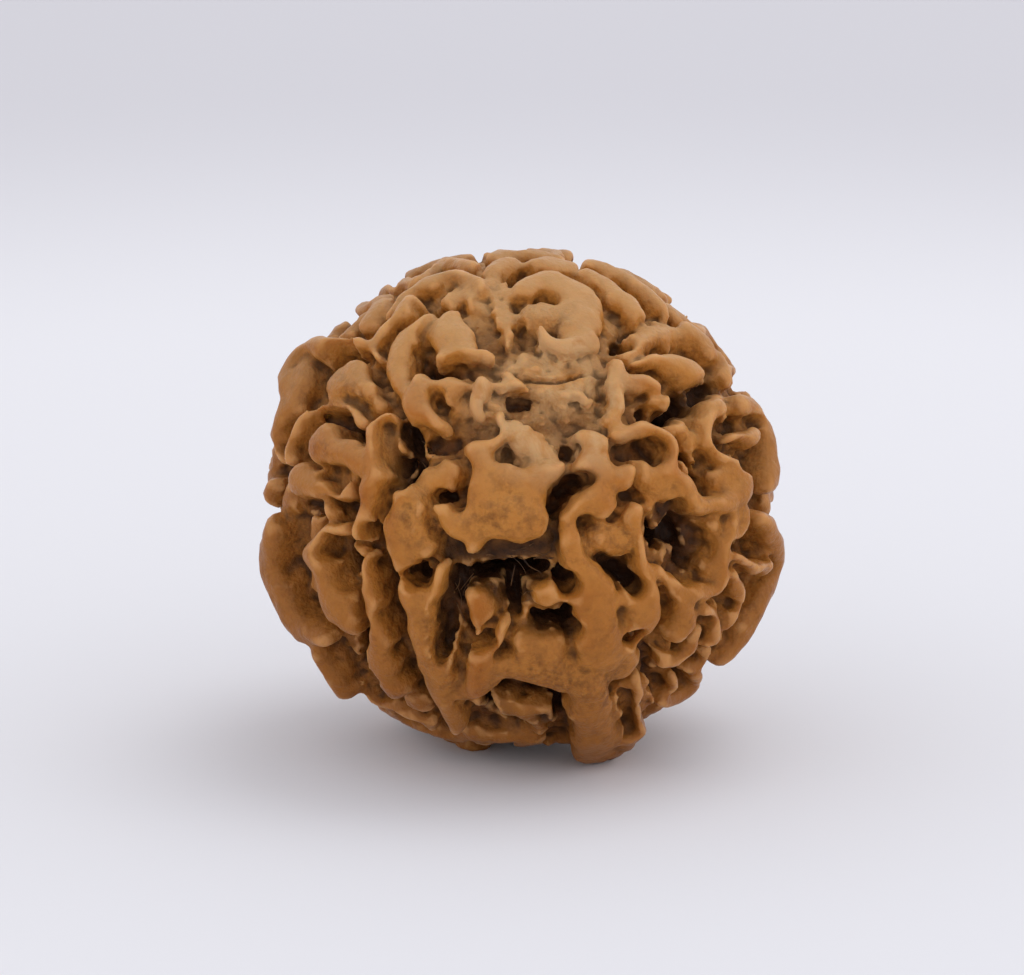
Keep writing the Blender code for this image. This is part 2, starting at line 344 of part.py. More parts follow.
def edge_arm(across, up, width):
    """A cleft's route over the edge of the drawn face, from a little before it to further behind."""
    sine, cosine = math.sin(FACE_TILT), math.cos(FACE_TILT)
    edge = np.array([across, up * sine, up * cosine]) / math.hypot(across, up)
    towards = np.array([0, -cosine, sine])
    spots = [edge + towards * CLEFT_FRONT, edge, edge - towards * CLEFT_BACK]
    return np.array([[*spot / np.linalg.norm(spot), width] for spot in spots])


def ripple(points, wavelength, seed, waves=24):
    """A smooth random field between about -1 and 1: plane waves of nearly one length in every direction."""
    rng = np.random.default_rng(seed)
    heading = rng.normal(size=(waves, 3))
    heading /= np.linalg.norm(heading, axis=1, keepdims=True)
    pace = 2 * math.pi / (wavelength * rng.uniform(0.75, 1.5, waves))
    phase = rng.uniform(0, 2 * math.pi, waves)
    total = np.zeros(len(points))
    for direction, step, start in zip(heading, pace, phase):
        total += np.sin(points @ (direction * step) + start)
    return total / math.sqrt(waves)


def soft_max(a, b, blend):
    overlap = np.maximum(blend - np.abs(a - b), 0) / blend
    return np.maximum(a, b) + overlap**2 * blend / 4


def depth_inside(points, arm, radius):
    """How far each point on the ball of that radius lies inside the arm's outline; negative outside."""
    best = np.full(len(points), -9.0)
    spots = arm[:, :3] * radius
    widths = arm[:, 3]
    if len(arm) == 1:
        return widths[0] - np.linalg.norm(points - spots[0], axis=1)
    for start, end, width, next_width in zip(spots, spots[1:], widths, widths[1:]):
        middle = (start + end) / 2
        near = np.linalg.norm(end - start) / 2 + max(width, next_width) + 3.0
        close = np.flatnonzero(((points - middle) ** 2).sum(axis=1) < near**2)
        along = end - start
        share = np.clip((points[close] - start) @ along / (along @ along), 0, 1)
        foot = start + share[:, None] * along
        foot *= radius / np.linalg.norm(foot, axis=1, keepdims=True)
        inside = width + share * (next_width - width) - np.linalg.norm(points[close] - foot, axis=1)
        best[close] = np.maximum(best[close], inside)
    return best


def raised(inside, top, edge):
    """Height of a lobe with a rounded rim, a slightly domed top and steep walls."""
    rim = np.clip(inside, 0, edge)
    rounding = np.sqrt(np.maximum(edge**2 - (edge - rim) ** 2, 0))
    height = top - edge + rounding + CROWN * np.clip(inside, 0, CROWN_REACH)
    return np.where(inside < 0, top - edge + inside * WALL_SLOPE, height)


def lobe_height(ball, arms, top, edge, blend=ARM_BLEND):
    surface = ball * top
    inside = depth_inside(surface, arms[0], top)
    for arm in arms[1:]:
        inside = soft_max(inside, depth_inside(surface, arm, top), blend)
    return raised(inside, top, edge)


def unit(vector):
    return vector / np.linalg.norm(vector)


def far_points(rng):
    """Evenly scattered directions on the far side, clear of every drawn lobe."""
    back = -face_direction(0, 0, FAR_TOP)
    tries = rng.normal(size=(9000, 3))
    tries /= np.linalg.norm(tries, axis=1, keepdims=True)
    tries = tries[tries @ back > FAR_START]
    for top, arms in LOBES.values():
        for arm in arms:
            tries = tries[depth_inside(tries * top, face_arm(arm, top), top) < -FAR_MARGIN]
    kept = tries[:1]
    for spot in tries:
        if np.linalg.norm(kept - spot, axis=1).min() * FAR_TOP > FAR_SPACING:
            kept = np.vstack([kept, spot])
    return kept


def far_arms():
    """Winding lobes of the far side: each runs through a few neighbouring points, swelling and narrowing."""
    rng = np.random.default_rng(FAR_SEED)
    spots = far_points(rng)
    gaps = np.linalg.norm(spots[:, None] - spots[None], axis=2) * FAR_TOP
    free = set(range(len(spots)))
    arms = []
    while free:
        current = min(free)
        free.discard(current)
        chain = [current]
        for _ in range(rng.integers(1, LOBE_STEPS + 1)):
            near = [spot for spot in sorted(free) if gaps[current, spot] < FAR_REACH]
            if not near:
                break
            current = near[int(rng.integers(0, min(3, len(near))))]
            free.discard(current)
            chain.append(current)
        rows = [[*spots[chain[0]], rng.uniform(0.65, 1.05)]]
        for start, end in zip(chain, chain[1:]):
            bend = unit((spots[start] + spots[end]) / 2 + rng.normal(scale=0.025, size=3))
            rows.append([*bend, rng.uniform(0.5, 0.72)])
            rows.append([*spots[end], rng.uniform(0.6, 1.0)])
        arms.append(eased(np.array(rows)))
        for row in rows[::2]:
            if rng.random() < SIDE_KNOB_CHANCE:
                aside = unit(np.array(row[:3]) + rng.normal(scale=0.075, size=3))
                arms.append(np.array([row, [*aside, rng.uniform(0.4, 0.6)]]))
    return arms


def far_grooves():
    """Narrow wandering grooves down the far side, from beside the stem end to the hollow at the tip."""
    rng = np.random.default_rng(FAR_SEED + 1)
    stem = face_direction(*STEM_END, FAR_TOP)
    mark = face_direction(*CLEFT_MARK, FAR_TOP)
    across = unit(mark - (mark @ stem) * stem)
    beside = np.cross(stem, across)
    back = -face_direction(0, 0, FAR_TOP)
    grooves = []
    for turn in range(GROOVES):
        rows = []
        for fall in np.linspace(0.3, 0.97, 15) * math.pi:
            wander = rng.uniform(-GROOVE_WANDER, GROOVE_WANDER) / math.sin(fall)
            heading = 2 * math.pi * turn / GROOVES + wander
            sideways = across * math.cos(heading) + beside * math.sin(heading)
            spot = stem * math.cos(fall) + sideways * math.sin(fall)
            if spot @ back > 0.1:
                rows.append([*spot, GROOVE_WIDTH])
        if len(rows) > 1:
            grooves.append(np.array(rows))
    return grooves


def relief(ball):
    """Distance from the middle to the surface in each direction of the unit ball."""
    wander = np.stack([ripple(ball * FAR_TOP, 1.6, seed) for seed in (1, 2, 3)], axis=1)
    moved = ball * FAR_TOP + WANDER * wander
    moved /= np.linalg.norm(moved, axis=1, keepdims=True)
    height = FLOOR_LEVEL + FLOOR_SWELL * ripple(ball * FAR_TOP, 3.0, 4)
    height += GROUND_ROUGHNESS * ripple(ball * FAR_TOP, 0.9, 6)
    for top, arms in PADS.values():
        drawn = [face_arm(arm, top) for arm in arms]
        height = soft_max(height, lobe_height(moved, drawn, top, PAD_EDGE), LOBE_BLEND)
    behind = np.clip((-ball @ face_direction(0, 0, FAR_TOP) - 0.05) / 0.45, 0, 1)
    level = FAR_TOP_SWELL * ripple(ball * FAR_TOP, 6.0, 5) * behind - LIMB_DROP * (1 - behind)
    far = lobe_height(moved, far_arms(), FAR_TOP, LOBE_EDGE, FAR_BLEND) + level
    height = soft_max(height, far, LOBE_BLEND)
    for top, arms in LOBES.values():
        drawn = [face_arm(arm, top) for arm in arms]
        height = soft_max(height, lobe_height(moved, drawn, top, LOBE_EDGE), LOBE_BLEND)
    belly = (MIDDLE_HEIGHT - BELLY_CLEARANCE) / np.maximum(-ball[:, 2], 0.3)
    height = -soft_max(-height, -belly, BELLY_BLEND)
    for top, arms in FEET.values():
        tips = [np.array([[*unit(np.array(spot)), width] for *spot, width in arm]) for arm in arms]
        height = soft_max(height, lobe_height(moved, tips, top, LOBE_EDGE), FOOT_BLEND)
    holes = [(bottom, pit_arm(route)) for bottom, route in PITS.values()]
    holes += [(GROOVE_BOTTOM, groove) for groove in far_grooves()]
    holes += [(cleft[0], edge_arm(*cleft[1:])) for cleft in EDGE_CLEFTS.values()]
    holes.append((TIP_HOLLOW[0], np.array([[*-face_direction(*STEM_END, FAR_TOP), TIP_HOLLOW[1]]])))
    for bottom, route in holes:
        inside = depth_inside(moved * PIT_MOUTH, route, PIT_MOUTH)
        hole = np.maximum(bottom, PIT_MOUTH - inside * np.where(inside > 0, PIT_SLOPE, 2 * PIT_SLOPE))
        height = -soft_max(-height, -hole, PIT_BLEND)
    return height


def averaged(values, ends, rounds):
    """Each value moved to the mean of itself and its neighbours', round after round."""
    count = len(values)
    links = 1 + np.bincount(ends[:, 0], minlength=count) + np.bincount(ends[:, 1], minlength=count)
    for _ in range(rounds):
        total = values.copy()
        total += np.bincount(ends[:, 0], values[ends[:, 1]], count)
        total += np.bincount(ends[:, 1], values[ends[:, 0]], count)
        values = total / links
    return values


def unit_ball(cuts):
    """A ball of even quads: a cube, cut into a grid on each side and blown up."""
    mesh = bmesh.new()
    bmesh.ops.create_cube(mesh, size=2.0)
    bmesh.ops.subdivide_edges(mesh, edges=mesh.edges[:], cuts=cuts - 1, use_grid_fill=True)
    for vert in mesh.verts:
        vert.co = [math.tan(part * math.pi / 4) for part in vert.co]
        vert.co.normalize()
    data = bpy.data.meshes.new(NODE)
    mesh.to_mesh(data)
    mesh.free()
    return data


def places(data):
    spots = np.empty(len(data.vertices) * 3)
    data.vertices.foreach_get("co", spots)
    return spots.reshape(-1, 3)


def neighbours(data):
    ends = np.empty(len(data.edges) * 2, int)
    data.edges.foreach_get("vertices", ends)
    return ends.reshape(-1, 2)


def place(data, spots):
    data.vertices.foreach_set("co", spots.ravel())
    data.update()


def softened(height, ends, cuts):
    """The relief smoothed over the same distance however fine the ball's grid is."""
    step = math.pi / 2 * FAR_TOP / cuts
    return averaged(height, ends, max(1, round(SOFTENING**2 / (0.4 * step**2))))


def full_mesh():
    """The relief as an even fine mesh, in millimetres from the seed's middle."""
    data = unit_ball(SAMPLES_PER_SIDE)
    ball = places(data)
    points = ball * softened(relief(ball), neighbours(data), SAMPLES_PER_SIDE)[:, None]
    points[:, 2] = np.maximum(points[:, 2], -MIDDLE_HEIGHT)
    place(data, points)
    return data


def thinned(seed):
    """The object's mesh with flat ground spent on few triangles and the lobes' rims on many."""
    modifier = seed.modifiers.new("thin", "DECIMATE")
    modifier.ratio = TRIANGLES / (2 * len(seed.data.polygons))
    modifier.use_collapse_triangulate = True
    depsgraph = bpy.context.evaluated_depsgraph_get()
    data = bpy.data.meshes.new_from_object(seed.evaluated_get(depsgraph))
    seed.modifiers.clear()
    return data


def relax_crossings(data):
    """Evens out the few spots where thinning has let two steep walls cross."""
    mesh = bmesh.new()
    mesh.from_mesh(data)
    for _ in range(RELAX_ROUNDS):
        mesh.faces.ensure_lookup_table()
        tree = BVHTree.FromBMesh(mesh)
        crossed = set()
        for first, second in tree.overlap(tree):
            pair = set(mesh.faces[first].verts), set(mesh.faces[second].verts)
            if first < second and not pair[0] & pair[1]:
                crossed |= pair[0] | pair[1]
        if not crossed:
            break
        middles = {}
        for vert in crossed:
            around = [edge.other_vert(vert).co for edge in vert.link_edges]
            middles[vert] = (sum(around, Vector()) / len(around) + vert.co) / 2
        for vert, middle in middles.items():
            vert.co = middle
    mesh.to_mesh(data)
    mesh.free()


def shell_material():
    """The hard, waxy brown shell of the dried stone."""
    material = bpy.data.materials.new("seed_shell_wood")
    material.use_nodes = True
    shader = material.node_tree.nodes["Principled BSDF"]
    shader.inputs["Base Color"].default_value = (0.36, 0.17, 0.055, 1.0)
    shader.inputs["Roughness"].default_value = 0.5
    return material


def main():
    for old in list(bpy.data.objects):
        bpy.data.objects.remove(old)
    seed = bpy.data.objects.new(NODE, full_mesh())
    bpy.context.scene.collection.objects.link(seed)
    seed.data = thinned(seed)
    seed.data.name = NODE
    relax_crossings(seed.data)
    for vert in seed.data.vertices:
        vert.co += Vector((*MIDDLE_ASIDE, MIDDLE_HEIGHT))
        if vert.co.z < FOOT_SNAP:
            vert.co.z = 0
        vert.co *= MM
    seed.data.materials.append(shell_material())
    return seed


if __name__ == "__main__":
    main()
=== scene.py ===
"""A rudraksha seed on a pale floor, laid out as an add-on: an operator for each piece and the stage.

The seed's form is worked out in millimetres from its middle, as the plain solid's is. It then gets what
the solid leaves out: overhanging rims, rough ground, fibres and the finish of the dried stone.
"""

import math

import bmesh
import bpy
import numpy as np
from mathutils import Euler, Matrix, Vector


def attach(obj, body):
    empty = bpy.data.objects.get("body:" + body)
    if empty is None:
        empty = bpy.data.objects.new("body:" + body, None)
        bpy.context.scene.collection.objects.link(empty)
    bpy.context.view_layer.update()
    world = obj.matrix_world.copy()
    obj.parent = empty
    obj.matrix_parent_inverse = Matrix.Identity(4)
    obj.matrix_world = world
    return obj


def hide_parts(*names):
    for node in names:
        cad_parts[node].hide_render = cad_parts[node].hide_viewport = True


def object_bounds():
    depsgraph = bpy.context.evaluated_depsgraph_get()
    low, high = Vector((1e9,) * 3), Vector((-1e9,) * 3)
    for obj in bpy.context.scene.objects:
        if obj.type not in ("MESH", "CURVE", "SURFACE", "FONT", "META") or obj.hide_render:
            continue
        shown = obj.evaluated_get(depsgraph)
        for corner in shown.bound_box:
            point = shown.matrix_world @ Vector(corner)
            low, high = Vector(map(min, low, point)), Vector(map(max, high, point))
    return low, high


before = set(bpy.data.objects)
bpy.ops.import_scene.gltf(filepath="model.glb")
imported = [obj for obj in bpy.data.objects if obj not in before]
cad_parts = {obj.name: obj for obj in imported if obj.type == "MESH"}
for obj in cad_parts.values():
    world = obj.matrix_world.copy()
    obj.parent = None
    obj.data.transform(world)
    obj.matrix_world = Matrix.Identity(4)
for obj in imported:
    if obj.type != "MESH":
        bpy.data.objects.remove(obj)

bl_info = {
    "name": "Rudraksha Seed",
    "version": (1, 0, 0),
    "blender": (4, 5, 0),
    "location": "View3D > Sidebar > Seed",
    "description": "Grows a lobed rudraksha seed with its fibres and sets it on a pale floor",
    "category": "Add Mesh",
}

NODE = "rudraksha_seed"
MM = 0.001
CAD_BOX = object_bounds()

PHOTO_ASIDE = -0.4  # where the picture's middle lies from the seed's, in millimetres on the drawn face
PHOTO_LIFT = 0.625

# The whole seed. Its middle is the origin until it is set down on its three feet.
FACE_TILT = math.radians(14.0)  # the drawn face leans back by this angle from upright
MIDDLE_HEIGHT = 12.4  # the seed's middle above the surface it rests on
MIDDLE_ASIDE = (-0.074, -0.207)  # and beside the middle of its bounding box
FLOOR_LEVEL = 11.75  # radius of the ground between the lobes
FLOOR_SWELL = 0.2
GROUND_ROUGHNESS = 0.07
PIT_MOUTH = 12.3  # radius at which the holes have their drawn width
PIT_SLOPE = 5.0
PIT_RIM_REACH = (7.0, 10.0)  # from and to this far out, the holes are drawn at the lobes' level instead
LOBE_EDGE = 0.6  # rounding of a lobe's rim
PAD_EDGE = 0.8
WALL_SLOPE = 6.0  # fall of a lobe's wall for each millimetre outwards
CROWN = 0.18  # rise of a lobe's top towards its middle, for each millimetre
CROWN_REACH = 1.2
ARM_BLEND = 0.6
LOBE_BLEND = 0.3
PIT_BLEND = 0.25
WANDER = 0.12  # how far the outlines wander from the drawn ones
CORNER_CUTS = 2  # how many times the corners of an arm's route are cut off
SOFTENING = 0.08  # how far the finished relief is smoothed
BLUR_OF_A_ROUND = 0.4  # square of how far one round of averaging blurs, in edge lengths
EDGE_SHARE = 0.998  # what is drawn further out than this share of the radius is moved in to it
FAR_OUTSIDE = -9.0  # what counts as far from every arm, in millimetres
SEARCH_MARGIN = 3.0  # how far from an arm its outline is still worked out
WANDER_FIELDS = [(1.6, 1), (1.6, 2), (1.6, 3)]  # wavelength and seed of each random field
FLOOR_FIELD = (3.0, 4)
FAR_TOP_FIELD = (6.0, 5)
GROUND_FIELD = (0.9, 6)

# Lobes of the near side: (top radius, arms). An arm's points are (across, up, half width) on the drawn
# face.
LOBES = {
    # the crown, at the top edge
    "crown_left_back": (12.75, [[(-1.3, 11.6, 0.75), (-0.5, 11.9, 0.85)]]),
    "crown_right_back": (12.75, [[(0.95, 11.9, 0.8), (2.2, 11.7, 0.95)]]),
    "crown_ridge_back": (12.95, [[(3.6, 11.9, 0.7), (5.0, 11.4, 0.7), (6.4, 10.4, 0.7), (7.3, 9.6, 0.6)]]),
    "crown_bean": (13.0, [[(3.4, 11.4, 0.6), (4.4, 10.7, 0.8), (5.4, 9.9, 0.85), (5.8, 9.4, 0.75)]]),
    "crown_dome": (12.95, [[(0.2, 10.6, 0.8), (1.5, 11.1, 0.95), (2.6, 10.6, 1.2), (3.1, 9.6, 1.35),
                            (2.9, 8.5, 1.2)]]),
    "crown_lip": (13.3, [[(1.15, 8.75, 0.3), (1.3, 8.2, 0.45), (1.9, 7.8, 0.6), (2.7, 7.75, 0.65),
                          (3.5, 8.1, 0.6)]]),
    "crown_rib_left": (12.6, [[(-1.6, 11.2, 0.4), (-1.5, 10.2, 0.3), (-1.1, 8.9, 0.25), (-0.5, 7.9, 0.2)]]),
    "crown_rib_right": (12.65, [[(-0.8, 10.9, 0.35), (-0.6, 9.6, 0.25), (-0.35, 8.3, 0.2)]]),
    "left_arch": (12.95, [[(-1.9, 10.7, 0.5), (-2.6, 11.2, 0.6), (-3.8, 11.2, 0.7), (-4.7, 10.9, 0.75),
                          (-5.7, 10.3, 0.65), (-6.5, 9.4, 0.4)]]),
    "left_arch_back": (12.75, [[(-3.5, 12.0, 0.55), (-2.4, 11.8, 0.55)]]),
    "left_bump_back": (12.9, [[(-7.0, 9.8, 0.8), (-7.5, 9.1, 0.9)]]),
    "left_limb": (13.2, [[(-5.5, 10.0, 0.65), (-6.1, 9.3, 0.6), (-6.9, 8.3, 0.42), (-7.5, 7.6, 0.5),
                          (-7.2, 7.1, 0.35)]]),
    # the left shoulder
    "shoulder_ridge": (13.85, [[(-8.1, 8.1, 0.35), (-9.6, 8.0, 0.45), (-10.9, 7.7, 0.65), (-11.7, 6.8, 0.7),
                                (-11.9, 5.8, 0.7)]]),
    "shoulder_slab": (13.45, [[(-11.0, 6.4, 1.0), (-11.5, 5.1, 1.1), (-12.2, 3.7, 0.8)]]),
    "nose": (13.4, [[(-8.4, 6.6, 0.6), (-8.9, 5.9, 0.9), (-9.4, 5.6, 0.65)],
                    [(-8.6, 6.0, 0.9), (-7.7, 5.5, 0.7)]]),
    "brow": (13.05, [[(-4.6, 9.3, 0.45), (-5.4, 8.4, 0.75), (-6.1, 7.5, 0.85), (-6.1, 6.3, 0.8),
                      (-5.9, 5.3, 0.5)]]),
    "cheek": (12.95, [[(-3.6, 9.2, 0.55), (-3.9, 8.7, 0.8), (-3.8, 8.0, 1.0), (-3.1, 7.5, 0.8)],
                      [(-3.2, 8.5, 0.7), (-2.9, 7.8, 0.7)]]),
    "cheek_lip": (13.15, [[(-3.9, 7.1, 0.5), (-3.0, 7.2, 0.5), (-2.4, 7.35, 0.35), (-1.8, 7.4, 0.5),
                           (-1.6, 7.2, 0.4)]]),
    "mitten": (13.4, [[(-5.1, 6.0, 0.55), (-5.4, 5.0, 0.85), (-5.1, 4.5, 0.7), (-4.2, 3.9, 0.55),
                       (-4.1, 3.4, 0.4)]]),
    "bar": (13.1, [[(-4.7, 5.7, 0.4), (-3.5, 5.7, 0.4), (-2.1, 5.7, 0.3), (-0.9, 5.6, 0.32),
                    (-0.2, 5.8, 0.38), (0.3, 5.5, 0.3)],
                   [(-3.5, 5.8, 0.5), (-3.5, 5.2, 0.5)], [(-0.2, 5.9, 0.3), (-0.6, 6.4, 0.25)]]),
    "bead": (13.5, [[(-2.05, 6.1, 0.42), (-2.05, 5.3, 0.52), (-2.15, 4.6, 0.42)]]),
    "curl": (13.45, [[(-7.9, 3.7, 0.35), (-8.2, 4.4, 0.35), (-9.1, 4.85, 0.35), (-10.2, 4.6, 0.35),
                      (-11.1, 3.8, 0.35), (-11.7, 2.8, 0.35), (-11.7, 2.0, 0.35)]]),
    "curl_outer": (13.35, [[(-12.1, 3.6, 0.3), (-12.3, 2.6, 0.3), (-12.1, 1.9, 0.25)]]),
    "egg": (13.75, [[(-9.9, 2.85, 1.15), (-9.0, 2.4, 0.9), (-7.9, 1.9, 0.85)]]),
    "block": (13.45, [[(-11.2, 1.0, 0.9), (-10.0, 0.85, 0.8), (-8.6, 0.55, 0.6)]]),
    "neck_knob": (13.1, [[(-9.6, -0.3, 0.55), (-9.4, -0.9, 0.4)]]),
    "finger": (13.8, [[(-6.95, 3.3, 1.05), (-7.25, 2.2, 0.8), (-7.4, 0.9, 0.62), (-7.7, -0.5, 0.65),
                       (-8.05, -1.4, 0.75)]]),
    "left_edge_low": (13.2, [[(-12.6, 0.9, 0.35), (-12.8, 0.2, 0.5)]]),
    # the left flank
    "flank": (13.6, [[(-12.5, -1.6, 0.8), (-12.8, -3.0, 1.0), (-12.2, -4.9, 1.2), (-11.3, -6.5, 1.1),
                      (-10.0, -7.1, 0.5)]]),
    "ear": (13.6, [[(-8.9, -1.5, 0.3), (-9.8, -1.7, 0.4), (-10.4, -2.6, 0.95), (-10.0, -3.9, 0.6),
                    (-9.3, -5.2, 1.25), (-8.8, -6.0, 0.95)]]),
    "post": (13.4, [[(-7.6, -3.2, 0.42), (-7.5, -4.6, 0.75), (-7.35, -5.5, 0.65), (-7.2, -6.3, 0.42),
                     (-7.1, -7.5, 0.85), (-6.9, -8.8, 0.95), (-6.2, -9.7, 0.7)]]),
    "pillar": (13.6, [[(-10.3, -7.6, 0.5), (-9.6, -8.8, 0.75), (-9.1, -9.7, 0.7)]]),
    "skirt": (12.75, [[(-8.1, -9.3, 0.4), (-7.5, -10.1, 0.4), (-6.1, -10.6, 0.4), (-4.9, -11.0, 0.5),
                       (-4.4, -11.5, 0.45)]]),
    # the middle
    "star": (13.45, [[(-2.1, 2.4, 0.6), (-2.0, 1.2, 0.6), (-1.7, 0.0, 1.1), (-1.0, -0.6, 1.4),
                      (0.1, -0.8, 1.3)],
                     [(-0.8, 1.0, 1.0), (0.6, 1.1, 0.9), (2.2, 1.75, 0.3)],
                     [(0.4, 0.6, 0.9), (0.3, -1.3, 0.7)],
                     [(-2.2, -1.0, 0.9), (-3.6, -1.3, 0.65), (-4.0, -0.4, 0.33)],
                     [(-2.3, -1.7, 0.5), (-2.4, -2.4, 0.35)],
                     [(-2.2, 2.5, 0.5), (-1.3, 2.8, 0.35), (-0.7, 3.5, 0.28), (-1.0, 4.3, 0.2)]]),
    "cross": (13.5, [[(3.6, 2.9, 0.95), (3.7, 1.6, 0.85), (3.9, 0.5, 1.0), (4.2, -0.3, 0.75)],
                     [(4.2, 1.1, 0.7), (5.5, 1.2, 0.48)],
                     [(3.6, 0.1, 0.5), (2.6, -0.5, 0.55)]]),
    "panel": (13.4, [[(2.4, -0.9, 0.5), (2.5, -2.3, 0.65), (3.1, -3.6, 0.8), (3.8, -4.8, 1.2),
                      (4.0, -6.3, 1.25), (4.1, -7.8, 1.3)]]),
    "panel_knob": (13.3, [[(2.7, -5.0, 0.3), (2.0, -4.85, 0.33), (1.25, -4.65, 0.75)]]),
    "apron": (13.15, [[(4.3, -8.2, 1.2), (2.4, -9.0, 1.15), (0.6, -8.4, 0.9), (-0.6, -8.3, 0.95),
                       (-1.9, -8.9, 1.0), (-2.9, -9.5, 0.9)],
                      [(2.0, -8.2, 0.9), (0.6, -7.8, 0.8)],
                      [(5.3, -7.7, 0.7), (5.7, -8.2, 0.7), (4.7, -8.5, 0.7)]]),
    "apron_knob": (13.55, [[(-1.9, -7.5, 0.75), (-1.9, -8.5, 0.8), (-2.3, -9.4, 0.8)],
                           [(-1.1, -7.1, 0.4), (-0.95, -6.4, 0.28)]]),
    "band": (13.45, [[(-5.9, 0.5, 0.35), (-6.2, -0.8, 0.65), (-6.1, -2.2, 0.75), (-5.6, -3.75, 0.6),
                      (-5.5, -5.25, 0.65), (-5.0, -6.75, 0.9), (-4.3, -8.2, 1.0), (-3.9, -9.6, 0.85),
                      (-3.45, -10.8, 0.65), (-3.3, -11.6, 0.5)],
                     [(-5.9, 0.3, 0.4), (-5.1, 0.2, 0.4), (-5.2, -1.4, 0.7)],
                     [(-6.0, -2.3, 0.6), (-4.9, -2.5, 0.55)],
                     [(-3.9, -3.4, 0.33), (-4.1, -4.4, 0.42), (-4.7, -5.5, 0.5)]]),
    "tongue": (13.05, [[(-2.1, -4.9, 0.75), (-1.95, -5.5, 0.78), (-2.0, -6.2, 0.35)]]),
    "sliver": (12.6, [[(-1.2, -5.7, 0.2), (-0.5, -5.95, 0.18)]]),
    # the right side
    "thorn": (13.15, [[(4.8, 6.8, 0.45), (4.9, 5.4, 0.5), (4.75, 4.0, 0.5)],
                      [(4.9, 6.2, 0.5), (6.0, 5.8, 0.55), (6.8, 5.7, 0.42)]]),
    "thorn_knob": (12.85, [[(6.7, 4.9, 0.35), (7.4, 5.05, 0.42)]]),
    "wave": (13.4, [[(4.8, 3.3, 0.35), (5.6, 3.7, 0.5), (6.6, 3.5, 0.5), (7.5, 2.9, 0.6), (7.8, 2.2, 0.5),
                     (7.2, 1.5, 0.4)],
                    [(7.5, 1.5, 0.5), (8.1, 0.8, 0.55), (8.8, 0.0, 0.6), (9.8, -0.4, 0.6), (10.9, 0.0, 0.7),
                     (11.5, 0.9, 0.85), (11.0, 1.7, 0.8)]]),
    "wave_foot": (12.95, [[(6.4, 1.3, 0.7), (7.2, 0.8, 0.8), (8.0, 0.0, 0.5)]]),
    "s_rib": (13.3, [[(9.4, 4.9, 0.5), (10.1, 4.7, 0.7), (9.7, 4.2, 0.5), (9.3, 3.4, 0.3), (9.5, 2.7, 0.3),
                      (10.2, 2.15, 0.35), (11.2, 1.9, 0.45)]]),
    "right_brow": (13.1, [[(5.6, 6.8, 0.22), (6.6, 7.1, 0.4), (7.8, 6.9, 0.7), (8.8, 6.3, 1.0),
                           (9.2, 5.7, 0.7)]]),
    "right_back_upper": (13.1, [[(8.4, 8.6, 0.7), (9.2, 8.1, 0.9), (9.5, 7.6, 0.7)]]),
    "right_back_lower": (13.0, [[(10.0, 7.2, 0.6), (10.4, 6.2, 0.65)]]),
    "right_ring": (13.35, [[(11.2, 4.9, 0.6), (12.0, 4.4, 0.8), (12.5, 3.3, 0.9), (12.7, 2.0, 0.9),
                            (12.6, 1.0, 0.8)],
                           [(10.7, 3.1, 0.3), (11.9, 3.3, 0.5)]]),
    "right_flank": (13.6, [[(12.2, -0.9, 0.5), (12.8, -1.6, 0.65), (13.1, -2.6, 0.75), (12.9, -3.8, 0.75),
                            (12.3, -5.0, 0.85), (11.7, -6.2, 0.85), (10.9, -7.4, 0.75), (10.4, -8.0, 0.6)],
                           [(10.8, -2.85, 0.35), (11.6, -3.1, 0.5), (12.5, -3.4, 0.6)]]),
    "bowl_rim": (13.3, [[(10.9, -0.4, 0.4), (10.6, -1.5, 0.45), (10.2, -2.6, 0.45), (10.2, -3.8, 0.5),
                         (9.9, -4.5, 0.55), (9.1, -4.9, 0.5), (8.1, -4.4, 0.4), (7.3, -3.9, 0.35),
                         (6.9, -3.5, 0.35)],
                        [(11.2, -0.6, 0.45), (11.25, -1.4, 0.5), (10.8, -1.8, 0.4)]]),
    "knob_right": (13.25, [[(5.65, -0.7, 0.62), (5.75, -1.7, 0.45), (6.1, -2.8, 0.5), (6.4, -3.8, 0.6)]]),
    "knuckles_right": (13.45, [[(6.3, -4.2, 0.65), (6.4, -5.4, 1.1), (6.2, -6.1, 1.05), (5.6, -7.1, 0.7)],
                               [(6.2, -4.6, 0.6), (5.3, -5.1, 0.5)]]),
    "fold_right": (13.3, [[(7.3, -4.5, 0.3), (8.3, -5.2, 0.75), (8.5, -6.0, 0.8), (8.0, -6.7, 0.7)]]),
    "fold_low": (13.1, [[(8.9, -6.4, 0.35), (8.75, -7.4, 0.5), (8.0, -8.1, 0.5), (7.1, -8.2, 0.4)]]),
    "fold_lowest": (12.95, [[(9.4, -7.6, 0.4), (9.3, -8.2, 0.4), (8.5, -8.7, 0.4)]]),
    "fold_small": (13.4, [[(9.2, -5.5, 0.35), (9.8, -6.1, 0.5), (9.9, -6.9, 0.5), (9.5, -7.3, 0.4)]]),
    "fold_outer": (13.45, [[(10.7, -3.7, 0.4), (11.2, -4.6, 0.55), (10.9, -5.7, 0.55), (10.5, -6.4, 0.4)]]),
    "under_right": (13.1, [[(8.9, -8.9, 0.6), (8.8, -9.5, 0.5), (7.9, -10.1, 0.65), (7.1, -10.2, 0.5)],
                           [(8.0, -9.0, 0.3), (7.75, -9.6, 0.28)]]),
    # the feet
    "foot_front": (13.6, [[(3.6, -9.4, 1.0), (3.65, -10.8, 1.1), (3.8, -11.9, 1.15), (4.8, -12.0, 1.0),
                           (5.8, -11.7, 0.9), (6.4, -11.0, 0.6), (6.7, -9.8, 0.4)]]),
